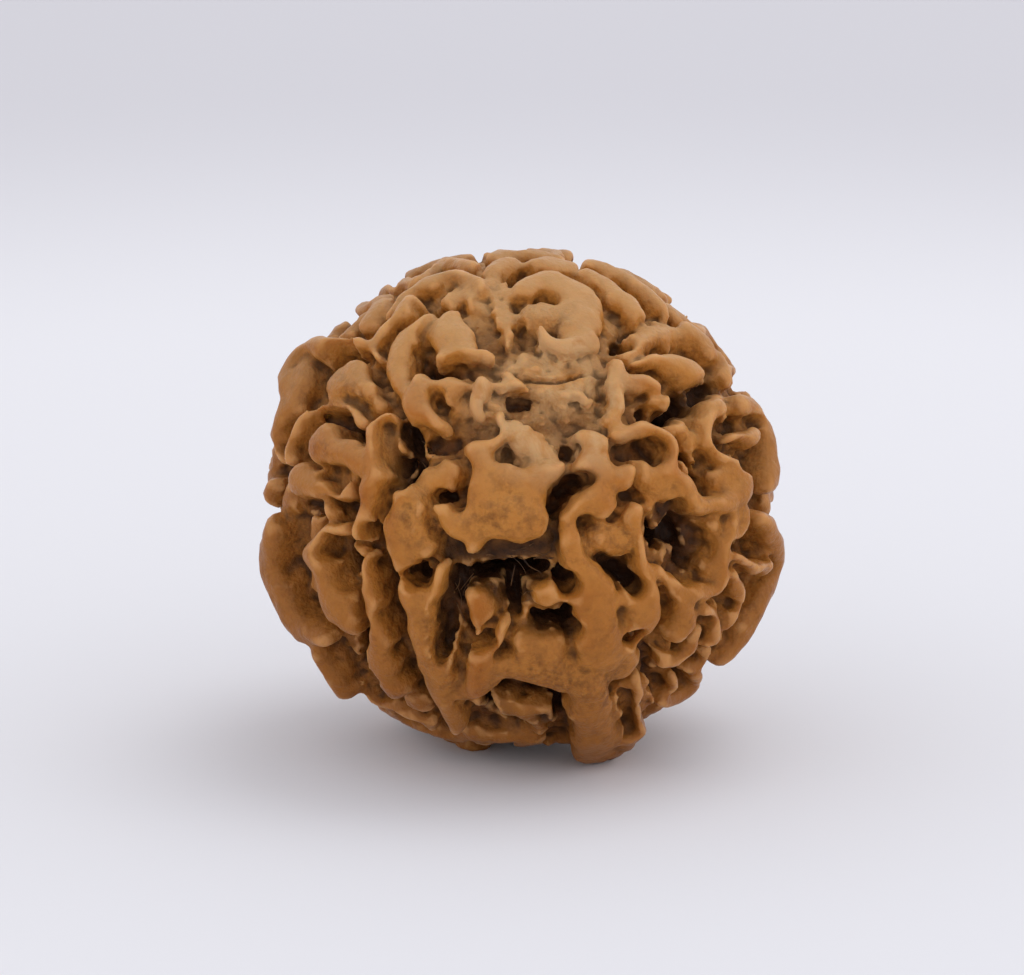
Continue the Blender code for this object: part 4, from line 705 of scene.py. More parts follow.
AMBER = {
    "finger": (13.2, [(-7.5, 3.2, 0.7), (-7.6, 0.2, 0.6)]),
    "egg": (13.2, [(-10.4, 2.7, 0.8), (-9.4, 2.6, 0.7)]),
    "knob": (12.9, [(-5.6, 5.2, 0.8), (-4.6, 3.8, 0.5)]),
    "small_knob": (12.9, [(-2.2, 5.2, 0.5), (-2.1, 4.6, 0.4)]),
    "cross": (13.3, [(3.0, 2.2, 0.9), (4.6, 0.6, 1.0)]),
    "star": (13.3, [(-2.8, 1.6, 0.7), (-2.4, -0.4, 0.7), (1.4, 1.6, 0.7)]),
    "post": (13.1, [(-6.4, 0.4, 0.5), (-6.0, -1.6, 0.5)]),
    "panel": (13.2, [(3.4, -5.2, 1.0), (4.0, -6.8, 1.1)]),
    "tongue": (12.8, [(-1.8, -5.0, 0.8), (-2.2, -9.0, 0.8)]),
    "crown_tip": (13.0, [(1.8, 7.6, 0.5), (3.4, 7.4, 0.5)]),
    "shoulder_tip": (13.0, [(5.6, 5.8, 0.7), (6.6, 5.7, 0.5)]),
    "scoop": (13.0, [(5.6, 3.0, 0.5), (8.0, 1.4, 0.6)]),
}
MARK_FADE = 0.7
SOFT_MARK_FADE = 1.4

# Torn husk fibres in the hollows: from and to where across and up the drawn face, how many, the way they
# run, and the radius that they don't go below.
TUFTS = {
    "basin": ((-2.4, 1.4), (-3.4, -2.5), 14, 0.1, 11.3),
    "basin_tail": ((-1.0, 0.2), (-5.4, -4.4), 5, 1.3, 10.9),
    "basin_left": ((-3.6, -2.8), (-6.4, -4.6), 5, 1.4, 11.1),
    "valley": ((-5.7, -4.5), (1.2, 3.4), 8, 1.5, 11.0),
    "bowl": ((7.2, 8.4), (-1.2, -0.6), 5, 0.8, 11.2),
}
OUTSIDE = 20  # a distance from the middle that is well outside the shell
FIBRE_SEED = 7
FIBRE_LENGTH = (0.7, 1.8)
FIBRE_STEPS = 6
FIBRE_LIFT = 0.5  # the most that a fibre's lowest radius is raised
FIBRE_SWAY = 0.5  # how far the fibres' headings differ
FIBRE_LEAP = 0.8  # a fibre with a longer step than this spans a gap, and is left out
FIBRE_BEND = 0.12
FIBRE_THICKNESS = (0.015, 0.03)
FIBRE_SIDES = 5
FIBRE_ARCH = 0.06  # how high the middle of a fibre stands over the ground

# How bright the tent's walls are, from the horizon (0) to overhead (1), and how much of that is left in the
# opening that the camera looks through.
TENT_GLOW = [(0.0, 0.75), (0.25, 1.0), (0.6, 1.0), (0.8, 0.45), (1.0, 0.35)]
TENT_BLUE = 1.02
TENT_OPENING = (0.25, 0.9)  # cosines of the angles from its middle where it begins and is fully open
OPENING_GLOW = 0.95

# The finish. Shades are (place on the ramp, sRGB colour), from the deepest ground upwards.
# The dark low shades are partly the ground's own colour and partly painted shade in the clefts.
GROUND_SHADES = [(0.15, "#2A180C"), (0.4, "#4C2D16"), (0.62, "#805228"), (0.8, "#A26A2C")]
BLEACH_AND_TOP_LIGHT_HEIGHT = (12, 23)  # from and to this height over the floor, upward faces get paler: painted light, partly bleaching
GRIT_DULLNESS = 0.25  # what roughness the grit adds, about its mean, and what dry ground adds
DRY_DULLNESS = 0.2
FIBRE_SHADES = [(0.35, "#2E1B0E"), (0.55, "#6B4826")]

# The stage, in metres.
FLOOR_RADIUS = 3.0
FLOOR_SIDES = 96
FLOOR_FADE = (0.085, 0.16)  # distances from the seed between which the floor gets its far colour
LAMP_PLACE = (0.18, 0.1, 0.5)
LAMP_SIZE = (0.35, 0.3)
CAMERA_CLIP = (0.01, 10.0)


def linear(code):
    """The linear colour of an sRGB hex value."""
    parts = [int(code[place:place + 2], 16) / 255 for place in (1, 3, 5)]
    return (*[part / 12.92 if part <= 0.04045 else ((part + 0.055) / 1.055) ** 2.4 for part in parts], 1.0)


def outward(mesh):
    normals = np.empty(len(mesh.vertices) * 3)
    mesh.vertex_normals.foreach_get("vector", normals)
    return normals.reshape(-1, 3)


def modified(mesh, kind, **settings):
    """The mesh after one modifier."""
    carrier = bpy.data.objects.new("carrier", mesh)
    bpy.context.scene.collection.objects.link(carrier)
    modifier = carrier.modifiers.new(kind.lower(), kind)
    for name, value in settings.items():
        setattr(modifier, name, value)
    result = bpy.data.meshes.new_from_object(carrier.evaluated_get(bpy.context.evaluated_depsgraph_get()))
    bpy.data.objects.remove(carrier)
    bpy.data.meshes.remove(mesh)
    return result


def keep(mesh, name, values):
    layer = mesh.attributes.get(name) or mesh.attributes.new(name, "FLOAT", "POINT")
    layer.data.foreach_set("value", values.astype(np.float32))


def rounds_over(distance, step):
    """How many rounds of averaging over edges of that length blur over the distance."""
    return max(1, round(distance**2 / (BLUR_OF_A_ROUND * step**2)))


def smoothed(spots, ends, rounds):
    return np.stack([averaged(spots[:, axis], ends, rounds) for axis in range(3)], axis=1)


def fading(values, start, end):
    """1 at the start and beyond, 0 at the end and beyond."""
    return np.clip((values - end) / (start - end), 0, 1)


def marked(spots, height, marks, fade):
    """How far each spot is into any of the marks: 0 outside, and 1 from that far in."""
    most = np.zeros(len(spots))
    for level, route in marks.values():
        inside = depth_inside(spots * (level / height)[:, None], face_arm(route, level), level)
        most = np.maximum(most, np.clip(0.5 + inside / fade, 0, 1))
    return most


def overhung(overhang):
    """The relief as a mesh whose rims stand out over their walls, which heights alone can't make."""
    cuts = BALL_SIDE
    data = unit_ball(cuts)
    ball = places(data)
    ends = neighbours(data)
    height = softened(relief(ball), ends, cuts)
    height -= THROAT_DEPTH * marked(ball, np.ones(len(ball)), THROATS, THROAT_WALL)
    step = math.pi / 2 * FAR_TOP / cuts
    rise = (height - averaged(height, ends, rounds_over(NEIGHBOURHOOD / 2, step))) / RISE_REACH
    place(data, ball * height[:, None])
    normals = outward(data)
    sideways = normals - (normals * ball).sum(axis=1, keepdims=True) * ball
    under = fading(rise, *UNDER_RISE)
    place(data, ball * height[:, None] - overhang * under[:, None] * sideways)
    return data


def roughened(spots, height, rise, from_stem, normals):
    """The surface with swelling lobes, wrinkled walls, gritty ground and the torn, cracked stem end."""
    low = fading(height, *LOW_GROUND)
    bumps = WALL_WRINKLE * (1 - np.clip(np.abs(rise), 0, 1)) * ripple(spots, *WALL_FIELD)
    bumps += GROUND_GRIT * low * (ripple(spots, *GRIT_FIELDS[0]) + ripple(spots, *GRIT_FIELDS[1]))
    bumps += TOP_SWELL * ripple(spots, *TOP_FIELD)
    scar = fading(from_stem, *SCAR_RANGE) * fading(height, *SCAR_GROUND)
    bumps += SCAR_ROUGHNESS * scar * (np.abs(ripple(spots * SCAR_STRETCH, *SCAR_FIELD)) - SCAR_DEPTH)
    bumps += GRIT_RELIEF * marked(spots, height, GRIT, MARK_FADE) * ripple(spots, *COARSE_FIELD)
    crack = face_arm(CRACK, CRACK_LEVEL)
    beside = depth_inside(spots * CRACK_LEVEL / height[:, None], crack, CRACK_LEVEL)
    bumps -= CRACK_DEPTH * np.clip(1 + beside / CRACK_FADE, 0, 1)
    return spots + normals * bumps[:, None]


def shell_mesh(overhang):
    """The shell in metres. Each spot keeps what its colour is worked out from."""
    cell = REMESH_CELL
    data = modified(overhung(overhang), "REMESH", mode="VOXEL", voxel_size=cell, use_smooth_shade=True)
    ends = neighbours(data)
    spots = smoothed(places(data), ends, REMESH_SMOOTHING)
    place(data, spots)
    height = np.linalg.norm(spots, axis=1)
    blurred = averaged(height, ends, rounds_over(NEIGHBOURHOOD, cell))
    rise = np.clip((height - blurred) / RISE_REACH, *RISE_LIMITS)
    from_stem = np.arccos(np.clip(spots @ face_direction(*STEM_END, FAR_TOP) / height, -1, 1))
    spots = roughened(spots, height, rise, from_stem, outward(data))
    place(data, spots)
    around = smoothed(spots, ends, rounds_over(RIM_WIDTH, cell))
    rim = averaged(((spots - around) * outward(data)).sum(axis=1) / RIM_STAND, ends, RIM_SMOOTHING)
    keep(data, "height", height)
    keep(data, "rise", rise)
    keep(data, "rim", np.clip(rim, -1, 1))
    keep(data, "from_stem", from_stem)
    # The dark marks: husk in the holes, and painted shade there.
    keep(data, "dirt_and_shade", marked(spots, height, DIRT_AND_SHADE, MARK_FADE))
    keep(data, "grit", marked(spots, height, GRIT, SOFT_MARK_FADE))
    keep(data, "amber", marked(spots, height, AMBER, SOFT_MARK_FADE))

    most = SHELL_TRIANGLES
    ratio = min(1, most / (2 * len(data.polygons)))
    data = modified(data, "DECIMATE", ratio=ratio, use_collapse_triangulate=True)
    place(data, np.clip((places(data) + [*MIDDLE_ASIDE, MIDDLE_HEIGHT]) * MM, *CAD_BOX))
    data.shade_smooth()
    return data


def on_shell(shell, direction):
    """Where the shell's surface lies in that direction from its middle, in millimetres from there."""
    middle = Vector((*MIDDLE_ASIDE, MIDDLE_HEIGHT)) * MM
    outside = middle + Vector(direction) * OUTSIDE * MM
    hit, spot, *_ = shell.ray_cast(outside, -Vector(direction))
    return (spot - middle) / MM if hit else None


def fibre_route(shell, rng, start, heading, level):
    """A fibre's points over the ground: both its ends are sunk in, and its middle stands a little off."""
    length = rng.uniform(*FIBRE_LENGTH)
    level += rng.uniform(0, FIBRE_LIFT)
    turn = rng.normal() * FIBRE_BEND
    across, up = start
    route = []
    for share in np.linspace(0, 1, FIBRE_STEPS):
        spot = on_shell(shell, face_direction(across, up, PIT_MOUTH))
        if spot is None:
            return []
        stand = FIBRE_ARCH * math.sin(share * math.pi) - FIBRE_THICKNESS[1]
        route.append(spot.normalized() * (max(spot.length, level) + stand))
        across += math.cos(heading) * length / FIBRE_STEPS
        up += math.sin(heading) * length / FIBRE_STEPS
        heading += turn
    leaps = [(end - begin).length for begin, end in zip(route, route[1:])]
    return route if max(leaps) < FIBRE_LEAP else []


def add_tube(mesh, route, thickness):
    """A thin tube along the route: a small disc, extruded from point to point."""
    ring = bmesh.ops.create_circle(mesh, cap_ends=True, segments=FIBRE_SIDES, radius=thickness)["verts"]
    along = (route[1] - route[0]).normalized()
    bmesh.ops.rotate(mesh, verts=ring, matrix=(-along).to_track_quat("Z", "Y").to_matrix())
    bmesh.ops.translate(mesh, verts=ring, vec=route[0])
    rim = list(dict.fromkeys(edge for vert in ring for edge in vert.link_edges))
    for begin, end in zip(route, route[1:]):
        made = bmesh.ops.extrude_edge_only(mesh, edges=rim)["geom"]
        ring = [part for part in made if isinstance(part, bmesh.types.BMVert)]
        rim = [part for part in made if isinstance(part, bmesh.types.BMEdge)]
        bmesh.ops.translate(mesh, verts=ring, vec=end - begin)
    bmesh.ops.contextual_create(mesh, geom=rim)


def fibre_mesh(shell):
    """Strands of husk left in the hollows, in metres."""
    rng = np.random.default_rng(FIBRE_SEED)
    mesh = bmesh.new()
    for across, up, count, heading, level in TUFTS.values():
        for _ in range(count):
            start = rng.uniform(*across), rng.uniform(*up)
            route = fibre_route(shell, rng, start, heading + rng.normal() * FIBRE_SWAY, level)
            if route:
                add_tube(mesh, route, rng.uniform(*FIBRE_THICKNESS))
    bmesh.ops.recalc_face_normals(mesh, faces=mesh.faces[:])
    bmesh.ops.translate(mesh, verts=mesh.verts[:], vec=(*MIDDLE_ASIDE, MIDDLE_HEIGHT))
    bmesh.ops.scale(mesh, verts=mesh.verts[:], vec=(MM, MM, MM))
    data = bpy.data.meshes.new("husk_fibres")
    mesh.to_mesh(data)
    mesh.free()
    data.shade_smooth()
    return data


def node(tree, kind, sockets, output=None, stops=(), **settings):
    """Adds one node with its settings, ramp stops and sockets, set or linked, and gives an output."""
    made = tree.nodes.new(kind)
    for name, value in settings.items():
        setattr(made, name, value)
    for name, value in sockets.items():
        if isinstance(value, bpy.types.NodeSocket):
            tree.links.new(value, made.inputs[name])
        else:
            made.inputs[name].default_value = value
    while stops and len(made.color_ramp.elements) < len(stops):
        made.color_ramp.elements.new(0.5)
    for number, (spot, colour) in enumerate(stops):
        made.color_ramp.elements[number].position = spot
        made.color_ramp.elements[number].color = colour
    return made.outputs[output] if output else next(socket for socket in made.outputs if socket.enabled)


def waves(grain):
    """The scale at which a noise's blotches are about that many millimetres wide."""
    return 0.5 / (grain * MM)


def shell_material(settings):
    """The fruit's dried stone, boiled clean and oiled: waxy on its lobes, dull in its clefts."""
    material = bpy.data.materials.new("oiled_fruit_stone_wood")
    material.use_nodes = True
    tree = material.node_tree
    shader = tree.nodes["Principled BSDF"]
    where = node(tree, "ShaderNodeTexCoord", {}, "Object")
    height = node(tree, "ShaderNodeAttribute", {}, "Fac", attribute_name="height")
    rise = node(tree, "ShaderNodeAttribute", {}, "Fac", attribute_name="rise")
    rim = node(tree, "ShaderNodeAttribute", {}, "Fac", attribute_name="rim")
    from_stem = node(tree, "ShaderNodeAttribute", {}, "Fac", attribute_name="from_stem")
    dirt_and_shade = node(tree, "ShaderNodeAttribute", {}, "Fac", attribute_name="dirt_and_shade")
    coarse = node(tree, "ShaderNodeAttribute", {}, "Fac", attribute_name="grit")
    waxy = node(tree, "ShaderNodeAttribute", {}, "Fac", attribute_name="amber")
    broad = node(tree, "ShaderNodeTexNoise", {"Vector": where, "Scale": waves(2.6), "Detail": 3.0})
    blotch = node(tree, "ShaderNodeTexNoise", {"Vector": where, "Scale": waves(0.9), "Detail": 5.0,
                                               "Roughness": 0.6, "Distortion": 0.5})
    grit = node(tree, "ShaderNodeTexNoise", {"Vector": where, "Scale": waves(0.28), "Detail": 4.0,
                                             "Roughness": 0.65})
    pores = node(tree, "ShaderNodeTexNoise", {"Vector": where, "Scale": waves(0.12), "Detail": 2.0})

    # Dark in the clefts and lighter up the walls to the rubbed lobes: partly husk and grime left in the
    # clefts, partly painted shade in the deep ground.
    level = node(tree, "ShaderNodeMapRange", {"Value": height, "From Min": 10.0, "From Max": 13.2},
                 interpolation_type="SMOOTHSTEP")
    level = node(tree, "ShaderNodeMath", {0: blotch, 1: 0.4, 2: level}, operation="MULTIPLY_ADD")
    level = node(tree, "ShaderNodeMath", {0: rise, 1: 0.06, 2: level}, operation="MULTIPLY_ADD")
    shades = [(spot, linear(code)) for spot, code in GROUND_SHADES] + [(1.0, tuple(settings.top))]
    colour = node(tree, "ShaderNodeValToRGB", {0: level}, stops=shades)

    # Amber where the lobes are thick and have soaked up oil.
    soaked = node(tree, "ShaderNodeMapRange", {"Value": broad, "From Min": 0.42, "From Max": 0.6})
    raised_up = node(tree, "ShaderNodeMapRange", {"Value": rise, "From Min": 0.0, "From Max": 0.8,
                                                  "To Max": 0.85})
    soaked = node(tree, "ShaderNodeMath", {0: soaked, 1: 0.35, 2: waxy}, operation="MULTIPLY_ADD",
                  use_clamp=True)
    soaked = node(tree, "ShaderNodeMath", {0: soaked, 1: raised_up}, operation="MULTIPLY")
    colour = node(tree, "ShaderNodeMix", {0: soaked, 6: colour, 7: tuple(settings.amber)}, data_type="RGBA")

    # Brown grains and pits in the ground.
    low = node(tree, "ShaderNodeMapRange", {"Value": rise, "From Min": 0.7, "From Max": -0.2,
                                            "To Max": 0.6})
    low = node(tree, "ShaderNodeMath", {0: coarse, 1: 0.35, 2: low}, operation="MULTIPLY_ADD")
    grains = node(tree, "ShaderNodeMapRange", {"Value": grit, "From Min": 0.42, "From Max": 0.68})
    grains = node(tree, "ShaderNodeMath", {0: low, 1: grains}, operation="MULTIPLY", use_clamp=True)
    colour = node(tree, "ShaderNodeMix", {0: grains, 6: colour, 7: tuple(settings.grain)}, data_type="RGBA")
    mottle = node(tree, "ShaderNodeMapRange", {"Value": blotch, "From Min": 0.5, "From Max": 0.72,
                                               "To Max": 0.55})
    fleck = node(tree, "ShaderNodeMapRange", {"Value": pores, "From Min": 0.45, "From Max": 0.62})
    mottle = node(tree, "ShaderNodeMath", {0: mottle, 1: fleck}, operation="MULTIPLY")
    colour = node(tree, "ShaderNodeMix", {0: mottle, 6: colour, 7: tuple(settings.fleck)}, data_type="RGBA")

    # Pale and dry round the stem end; paler on what faces up, high on the seed, partly from bleaching and
    # partly as painted light from above.
    near_stem = node(tree, "ShaderNodeMapRange", {"Value": from_stem, "From Min": 0.4, "From Max": 0.25})
    bare = node(tree, "ShaderNodeMapRange", {"Value": height, "From Min": 11.2, "From Max": 12.1})
    dry = node(tree, "ShaderNodeMath", {0: near_stem, 1: bare}, operation="MULTIPLY")
    patchy = node(tree, "ShaderNodeMapRange", {"Value": blotch, "From Min": 0.3, "From Max": 0.5,
                                               "To Max": 0.8})
    dry = node(tree, "ShaderNodeMath", {0: dry, 1: patchy}, operation="MULTIPLY")
    upright = node(tree, "ShaderNodeNewGeometry", {}, "Normal")
    upright = node(tree, "ShaderNodeSeparateXYZ", {0: upright}, "Z")
    upright = node(tree, "ShaderNodeMapRange", {"Value": upright, "From Min": 0.1, "From Max": 0.9})
    high = node(tree, "ShaderNodeSeparateXYZ", {0: where}, "Z")
    high = node(tree, "ShaderNodeMapRange", {"Value": high, "From Min": BLEACH_AND_TOP_LIGHT_HEIGHT[0] * MM,
                                             "From Max": BLEACH_AND_TOP_LIGHT_HEIGHT[1] * MM, "To Max": 0.6})
    # Painted light from above, partly bleaching.
    bleach_and_top_light = node(tree, "ShaderNodeMath", {0: upright, 1: high}, operation="MULTIPLY")
    bleach_and_top_light = node(tree, "ShaderNodeMath", {0: bleach_and_top_light, 1: bare}, operation="MULTIPLY")
    pale = node(tree, "ShaderNodeMath", {0: dry, 1: bleach_and_top_light}, operation="MAXIMUM")
    colour = node(tree, "ShaderNodeMix", {0: pale, 6: colour, 7: tuple(settings.dust_and_top_light)}, data_type="RGBA")

    # Painted shade: darker towards the tip, on the lower side, and in the creases and deep hollows, where
    # some husk is also left. The rims are pale, partly worn and partly a painted highlight.
    tipward_shade = node(tree, "ShaderNodeMapRange", {"Value": from_stem, "From Min": 0.6, "From Max": 1.5,
                                                "To Max": 0.55})
    colour = node(tree, "ShaderNodeMix", {0: tipward_shade, 6: colour, 7: tuple(settings.tip)}, data_type="RGBA",
                  blend_type="MULTIPLY")
    # Painted shade in the deep hollows and the marked holes, where some husk is also left.
    hollow_shade = node(tree, "ShaderNodeMapRange", {"Value": rise, "From Min": -1.2, "From Max": -3.0,
                                               "To Max": 0.9})
    dirt_and_shade_mask = node(tree, "ShaderNodeMapRange", {"Value": grit, "From Min": 0.3, "From Max": 0.62,
                                              "To Min": 1.0, "To Max": 0.72})
    dirt_and_shade_mask = node(tree, "ShaderNodeMath", {0: dirt_and_shade, 1: dirt_and_shade_mask}, operation="MULTIPLY")
    low = node(tree, "ShaderNodeMapRange", {"Value": height, "From Min": 12.9, "From Max": 12.2})
    dirt_and_shade_mask = node(tree, "ShaderNodeMath", {0: low, 1: dirt_and_shade_mask}, operation="MULTIPLY")
    hollow_shade = node(tree, "ShaderNodeMath", {0: dirt_and_shade_mask, 1: hollow_shade}, operation="MAXIMUM")
    colour = node(tree, "ShaderNodeMix", {0: hollow_shade, 6: colour, 7: tuple(settings.dirt_and_shade)}, data_type="RGBA")
    # Painted shade in the creases between lobes.
    crease_shade = node(tree, "ShaderNodeMapRange", {"Value": rim, "From Min": -0.3, "From Max": -1.0,
                                               "To Max": 0.7})
    colour = node(tree, "ShaderNodeMix", {0: crease_shade, 6: colour, 7: tuple(settings.crease_shade)}, data_type="RGBA")
    # Painted highlight on the rims, partly wear.
    worn = node(tree, "ShaderNodeMapRange", {"Value": rim, "From Min": 0.6, "From Max": 1.0,
                                             "To Max": 0.45})
    colour = node(tree, "ShaderNodeMix", {0: worn, 6: colour, 7: tuple(settings.rim)}, data_type="RGBA")
    tree.links.new(colour, shader.inputs["Base Color"])

    dull = node(tree, "ShaderNodeMapRange", {"Value": rise, "From Min": 0.6, "From Max": -0.4,
                                             "To Min": settings.wax_roughness, "To Max": 0.75})
    dull = node(tree, "ShaderNodeMath", {0: grit, 1: GRIT_DULLNESS, 2: dull}, operation="MULTIPLY_ADD")
    dull = node(tree, "ShaderNodeMath", {0: pale, 1: DRY_DULLNESS, 2: dull}, operation="MULTIPLY_ADD")
    dull = node(tree, "ShaderNodeMath", {0: dull, 1: GRIT_DULLNESS / 2}, operation="SUBTRACT")
    tree.links.new(dull, shader.inputs["Roughness"])
    grain_relief = node(tree, "ShaderNodeMath", {0: grit, 1: 1.5, 2: pores}, operation="MULTIPLY_ADD")
    depth = node(tree, "ShaderNodeMapRange", {"Value": rise, "From Min": 0.8, "From Max": -0.2,
                                              "To Min": 0.4, "To Max": 1.0})
    depth = node(tree, "ShaderNodeMath", {0: coarse, 1: 0.6, 2: depth}, operation="MULTIPLY_ADD")
    grain_relief = node(tree, "ShaderNodeMath", {0: grain_relief, 1: depth}, operation="MULTIPLY")
    bump = node(tree, "ShaderNodeBump", {"Height": grain_relief, "Strength": 0.8, "Distance": 0.12 * MM})
    tree.links.new(bump, shader.inputs["Normal"])
    shader.inputs["IOR"].default_value = 1.5
    shader.inputs["Specular IOR Level"].default_value = 0.16
    shader.inputs["Coat Weight"].default_value = 0.06
    shader.inputs["Coat Roughness"].default_value = 0.2
    shader.inputs["Subsurface Weight"].default_value = 0.15
    shader.inputs["Subsurface Radius"].default_value = (1.0, 0.35, 0.1)
    shader.inputs["Subsurface Scale"].default_value = 0.7 * MM
    return material


def fibre_material(settings):
    """Dry, dull plant fibre, some strands darker than others."""
    material = bpy.data.materials.new("dry_husk_fibre")
    material.use_nodes = True
    tree = material.node_tree
    shader = tree.nodes["Principled BSDF"]
    where = node(tree, "ShaderNodeTexCoord", {}, "Object")
    patches = node(tree, "ShaderNodeTexNoise", {"Vector": where, "Scale": waves(0.5), "Detail": 2.0})
    shades = [(spot, linear(code)) for spot, code in FIBRE_SHADES] + [(0.7, tuple(settings.fibre))]
    colour = node(tree, "ShaderNodeValToRGB", {0: patches}, stops=shades)
    tree.links.new(colour, shader.inputs["Base Color"])
    shader.inputs["Roughness"].default_value = 0.7
    shader.inputs["IOR"].default_value = 1.45
    return material


def floor_material(settings):
    """Smooth matt paper, a touch darker away from the seed where the light falls off."""
    material = bpy.data.materials.new("matt_backdrop_paper")
    material.use_nodes = True
    tree = material.node_tree
    shader = tree.nodes["Principled BSDF"]
    where = node(tree, "ShaderNodeTexCoord", {}, "Object")
    far = node(tree, "ShaderNodeVectorMath", {0: where}, "Value", operation="LENGTH")
    far = node(tree, "ShaderNodeMapRange", {"Value": far, "From Min": FLOOR_FADE[0],
                                            "From Max": FLOOR_FADE[1]}, interpolation_type="SMOOTHSTEP")
    colour = node(tree, "ShaderNodeMix", {0: far, 6: tuple(settings.floor_near),
                                          7: tuple(settings.floor_far)}, data_type="RGBA")
    tree.links.new(colour, shader.inputs["Base Color"])
    shader.inputs["Roughness"].default_value = 0.85
    shader.inputs["Specular IOR Level"].default_value = 0.2
    return material


def finish_piece(name, mesh, material):
    """A piece of the seed: it stands at the origin, and rides on the one body there is."""
    mesh.name = name
    mesh.materials.clear()
    mesh.materials.append(material)
    piece = bpy.data.objects.new(name, mesh)
    bpy.context.scene.collection.objects.link(piece)
    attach(piece, "root")
    return piece


def colour_choice(name, description, code):
    """A colour that the panel offers, given as an sRGB hex value."""
    return bpy.props.FloatVectorProperty(name=name, description=description, default=linear(code), size=4,
                                         subtype="COLOR", min=0.0, max=1.0)


class SeedSettings(bpy.types.PropertyGroup):
    """Sizes and colours of the seed."""

    overhang: bpy.props.FloatProperty(
        name="Overhang", description="How far the lobes' rims stand out over their walls, in millimetres",
        default=OVERHANG, min=0.0, max=0.4)
    wax_roughness: bpy.props.FloatProperty(
        name="Wax roughness", description="Roughness of the rubbed tops", default=0.32, min=0.1, max=1.0,
        subtype="FACTOR")
    top: colour_choice("Lobe colour", "Colour of the lobes' tops", "#BB7B35")
    amber: colour_choice("Amber colour", "Colour where the shell is thick and waxy", "#A1570A")
    grain: colour_choice("Grain colour", "Colour of the grains and pits in the ground", "#5F3413")
    fleck: colour_choice("Fleck colour", "Colour of the brown flecks on the lobes", "#7C4617")
    # Also painted shade: this colour darkens the deep hollows and the marked holes.
    dirt_and_shade: colour_choice("Dirt colour", "Colour of the husk left in the holes", "#301A0B")
    # Painted shade in the creases between lobes.
    crease_shade: colour_choice("Crease colour", "Colour of the creases between lobes", "#2A160B")
    # Also painted light: what faces up high on the seed is paled towards this colour, partly bleaching.
    dust_and_top_light: colour_choice("Dust colour", "Colour of the dry ground round the stem end", "#CBA272")
    # Painted shade: the lower side, towards the tip, is multiplied by this tint.
    tip: colour_choice("Tip tint", "What the colour is multiplied by towards the tip", "#A08A78")
    # Partly a painted highlight along the rims, partly wear.
    rim: colour_choice("Rim colour", "Colour of the worn rims", "#DDA568")
    fibre: colour_choice("Fibre colour", "Colour of the palest husk fibres", "#7E5A34")


class StageSettings(bpy.types.PropertyGroup):
    """Camera, lights and floor."""

    camera_distance: bpy.props.FloatProperty(
        name="Camera distance", description="From the seed's middle to the camera", default=0.6,
        unit="LENGTH")
    frame_width: bpy.props.FloatProperty(
        name="Frame width", description="What the picture takes in at the seed's middle", default=0.0512,
        unit="LENGTH")
    camera_lift: bpy.props.FloatProperty(
        name="Camera elevation", description="Angle of the camera above the horizon", default=FACE_TILT,
        subtype="ANGLE")
    floor_near: colour_choice("Floor colour", "Colour of the floor by the seed", "#E9E9EF")
    floor_far: colour_choice("Far floor colour", "Colour of the floor far off", "#D3D2D9")
    key_power: bpy.props.FloatProperty(
        name="Key light", description="Power of the soft light overhead", default=0.5, unit="POWER")
    fill_strength: bpy.props.FloatProperty(
        name="Fill", description="Strength of the even light all round", default=1.26, min=0.0)


class SEED_OT_shell(bpy.types.Operator):
    """Grow the lobed shell of the seed"""

    bl_idname = "seed.shell"
    bl_label = "Grow Shell"

    def execute(self, context):
        settings = context.scene.seed_settings
        shell = finish_piece("seed_shell_lobes", shell_mesh(settings.overhang), shell_material(settings))
        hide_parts(NODE)
        return {"FINISHED"}


class SEED_OT_fibres(bpy.types.Operator):
    """Lay the torn husk fibres into the hollows of the shell"""

    bl_idname = "seed.fibres"
    bl_label = "Lay Fibres"

    def execute(self, context):
        shell = bpy.data.objects["seed_shell_lobes"]
        finish_piece("husk_fibres", fibre_mesh(shell), fibre_material(context.scene.seed_settings))
        return {"FINISHED"}


def light_tent(settings):
    """Even light from all round, weaker from straight above and where the camera looks in."""
    world = bpy.data.worlds.new("light_tent")
    world.use_nodes = True
    tree = world.node_tree
    around = node(tree, "ShaderNodeTexCoord", {}, "Generated")
    rising = node(tree, "ShaderNodeSeparateXYZ", {0: around}, "Z")
    walls = [(spot, (grey, grey, TENT_BLUE * grey, 1.0)) for spot, grey in TENT_GLOW]
    glow = node(tree, "ShaderNodeValToRGB", {0: rising}, stops=walls)
    facing = (0, -math.cos(settings.camera_lift), math.sin(settings.camera_lift))
    opening = node(tree, "ShaderNodeVectorMath", {0: around, 1: facing}, "Value", operation="DOT_PRODUCT")
    opening = node(tree, "ShaderNodeMapRange", {"Value": opening, "From Min": TENT_OPENING[0],
                                                "From Max": TENT_OPENING[1], "To Min": 1.0,
                                                "To Max": OPENING_GLOW}, interpolation_type="SMOOTHSTEP")
    glow = node(tree, "ShaderNodeVectorMath", {0: glow, "Scale": opening}, operation="SCALE")
    tree.links.new(glow, tree.nodes["Background"].inputs["Color"])
    tree.nodes["Background"].inputs["Strength"].default_value = settings.fill_strength
    return world


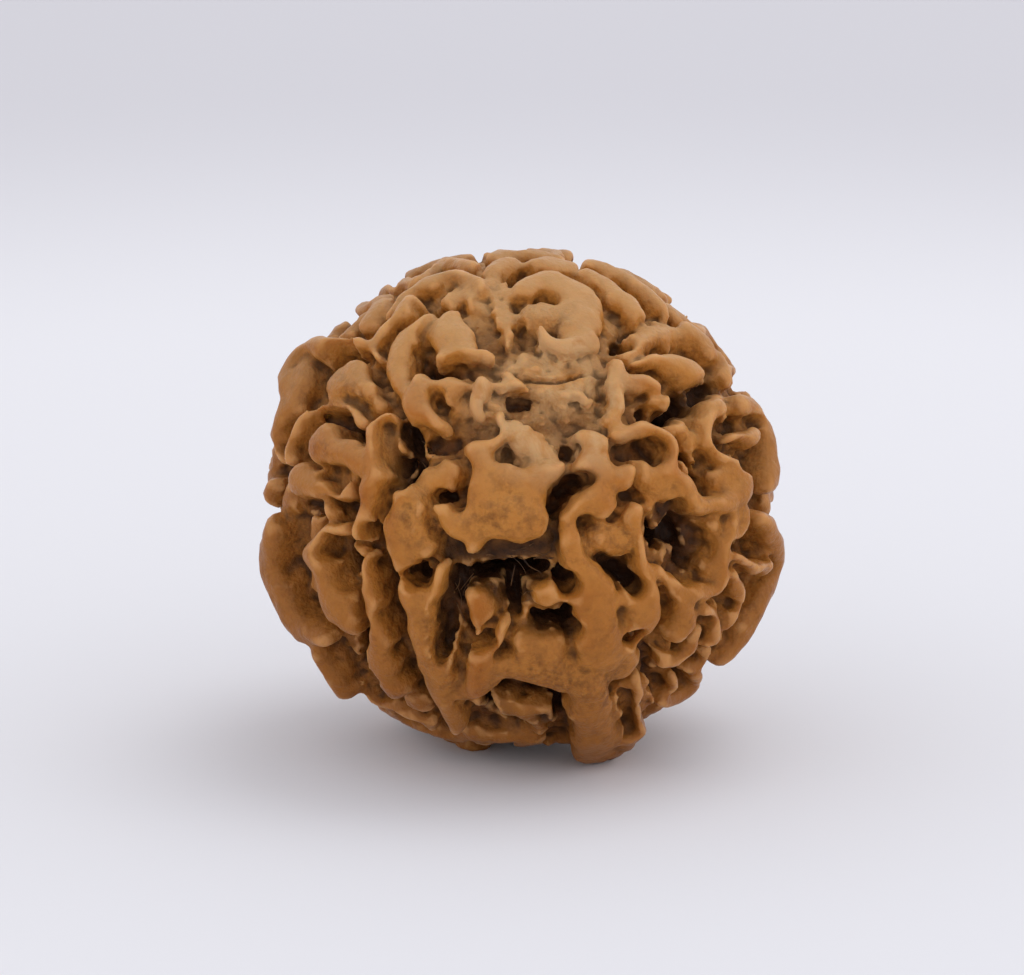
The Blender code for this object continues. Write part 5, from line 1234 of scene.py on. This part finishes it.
class SEED_OT_stage(bpy.types.Operator):
    """Set the floor, the lights and the camera"""

    bl_idname = "seed.stage"
    bl_label = "Set Stage"

    def execute(self, context):
        settings = context.scene.stage_settings
        mesh = bmesh.new()
        bmesh.ops.create_circle(mesh, cap_ends=True, segments=FLOOR_SIDES, radius=FLOOR_RADIUS)
        data = bpy.data.meshes.new("floor")
        mesh.to_mesh(data)
        mesh.free()
        data.materials.append(floor_material(settings))
        floor = bpy.data.objects.new("floor", data)
        context.scene.collection.objects.link(floor)

        middle = Vector((*MIDDLE_ASIDE, MIDDLE_HEIGHT)) * MM
        context.scene.world = light_tent(settings)
        light = bpy.data.lights.new("overhead_softbox", "AREA")
        light.shape = "RECTANGLE"
        light.size, light.size_y = LAMP_SIZE
        light.energy = settings.key_power
        lamp = bpy.data.objects.new("overhead_softbox", light)
        lamp.location = LAMP_PLACE
        lamp.rotation_euler = (middle - lamp.location).to_track_quat("-Z", "Y").to_euler()
        context.scene.collection.objects.link(lamp)

        lift = settings.camera_lift
        back = Vector((0, -math.cos(lift), math.sin(lift)))
        up = Vector((0, math.sin(lift), math.cos(lift)))
        lens = bpy.data.cameras.new("photo_camera")
        lens.lens = lens.sensor_width * settings.camera_distance / settings.frame_width
        lens.clip_start, lens.clip_end = CAMERA_CLIP
        camera = bpy.data.objects.new("photo_camera", lens)
        aim = middle + Vector((PHOTO_ASIDE * MM, 0, 0)) + up * PHOTO_LIFT * MM
        camera.location = aim + back * settings.camera_distance
        camera.rotation_euler = Euler((math.pi / 2 - lift, 0, 0))
        context.scene.collection.objects.link(camera)
        context.scene.camera = camera
        context.scene.view_settings.view_transform = "Standard"
        return {"FINISHED"}


class SEED_PT_panel(bpy.types.Panel):
    """Lists what the add-on makes"""

    bl_idname = "SEED_PT_panel"
    bl_label = "Rudraksha Seed"
    bl_space_type = "VIEW_3D"
    bl_region_type = "UI"
    bl_category = "Seed"

    def draw(self, context):
        for group in (context.scene.seed_settings, context.scene.stage_settings):
            for name in group.__annotations__:
                self.layout.prop(group, name)
        for operator in OPERATORS:
            self.layout.operator(operator.bl_idname)


OPERATORS = (SEED_OT_shell, SEED_OT_fibres, SEED_OT_stage)
CLASSES = (SeedSettings, StageSettings, *OPERATORS, SEED_PT_panel)


def register():
    for kind in CLASSES:
        bpy.utils.register_class(kind)
    bpy.types.Scene.seed_settings = bpy.props.PointerProperty(type=SeedSettings)
    bpy.types.Scene.stage_settings = bpy.props.PointerProperty(type=StageSettings)


def unregister():
    del bpy.types.Scene.stage_settings
    del bpy.types.Scene.seed_settings
    for kind in reversed(CLASSES):
        bpy.utils.unregister_class(kind)


def main():
    register()
    bpy.ops.seed.shell()
    bpy.ops.seed.fibres()
    bpy.ops.seed.stage()


if __name__ == "__main__":
    main()
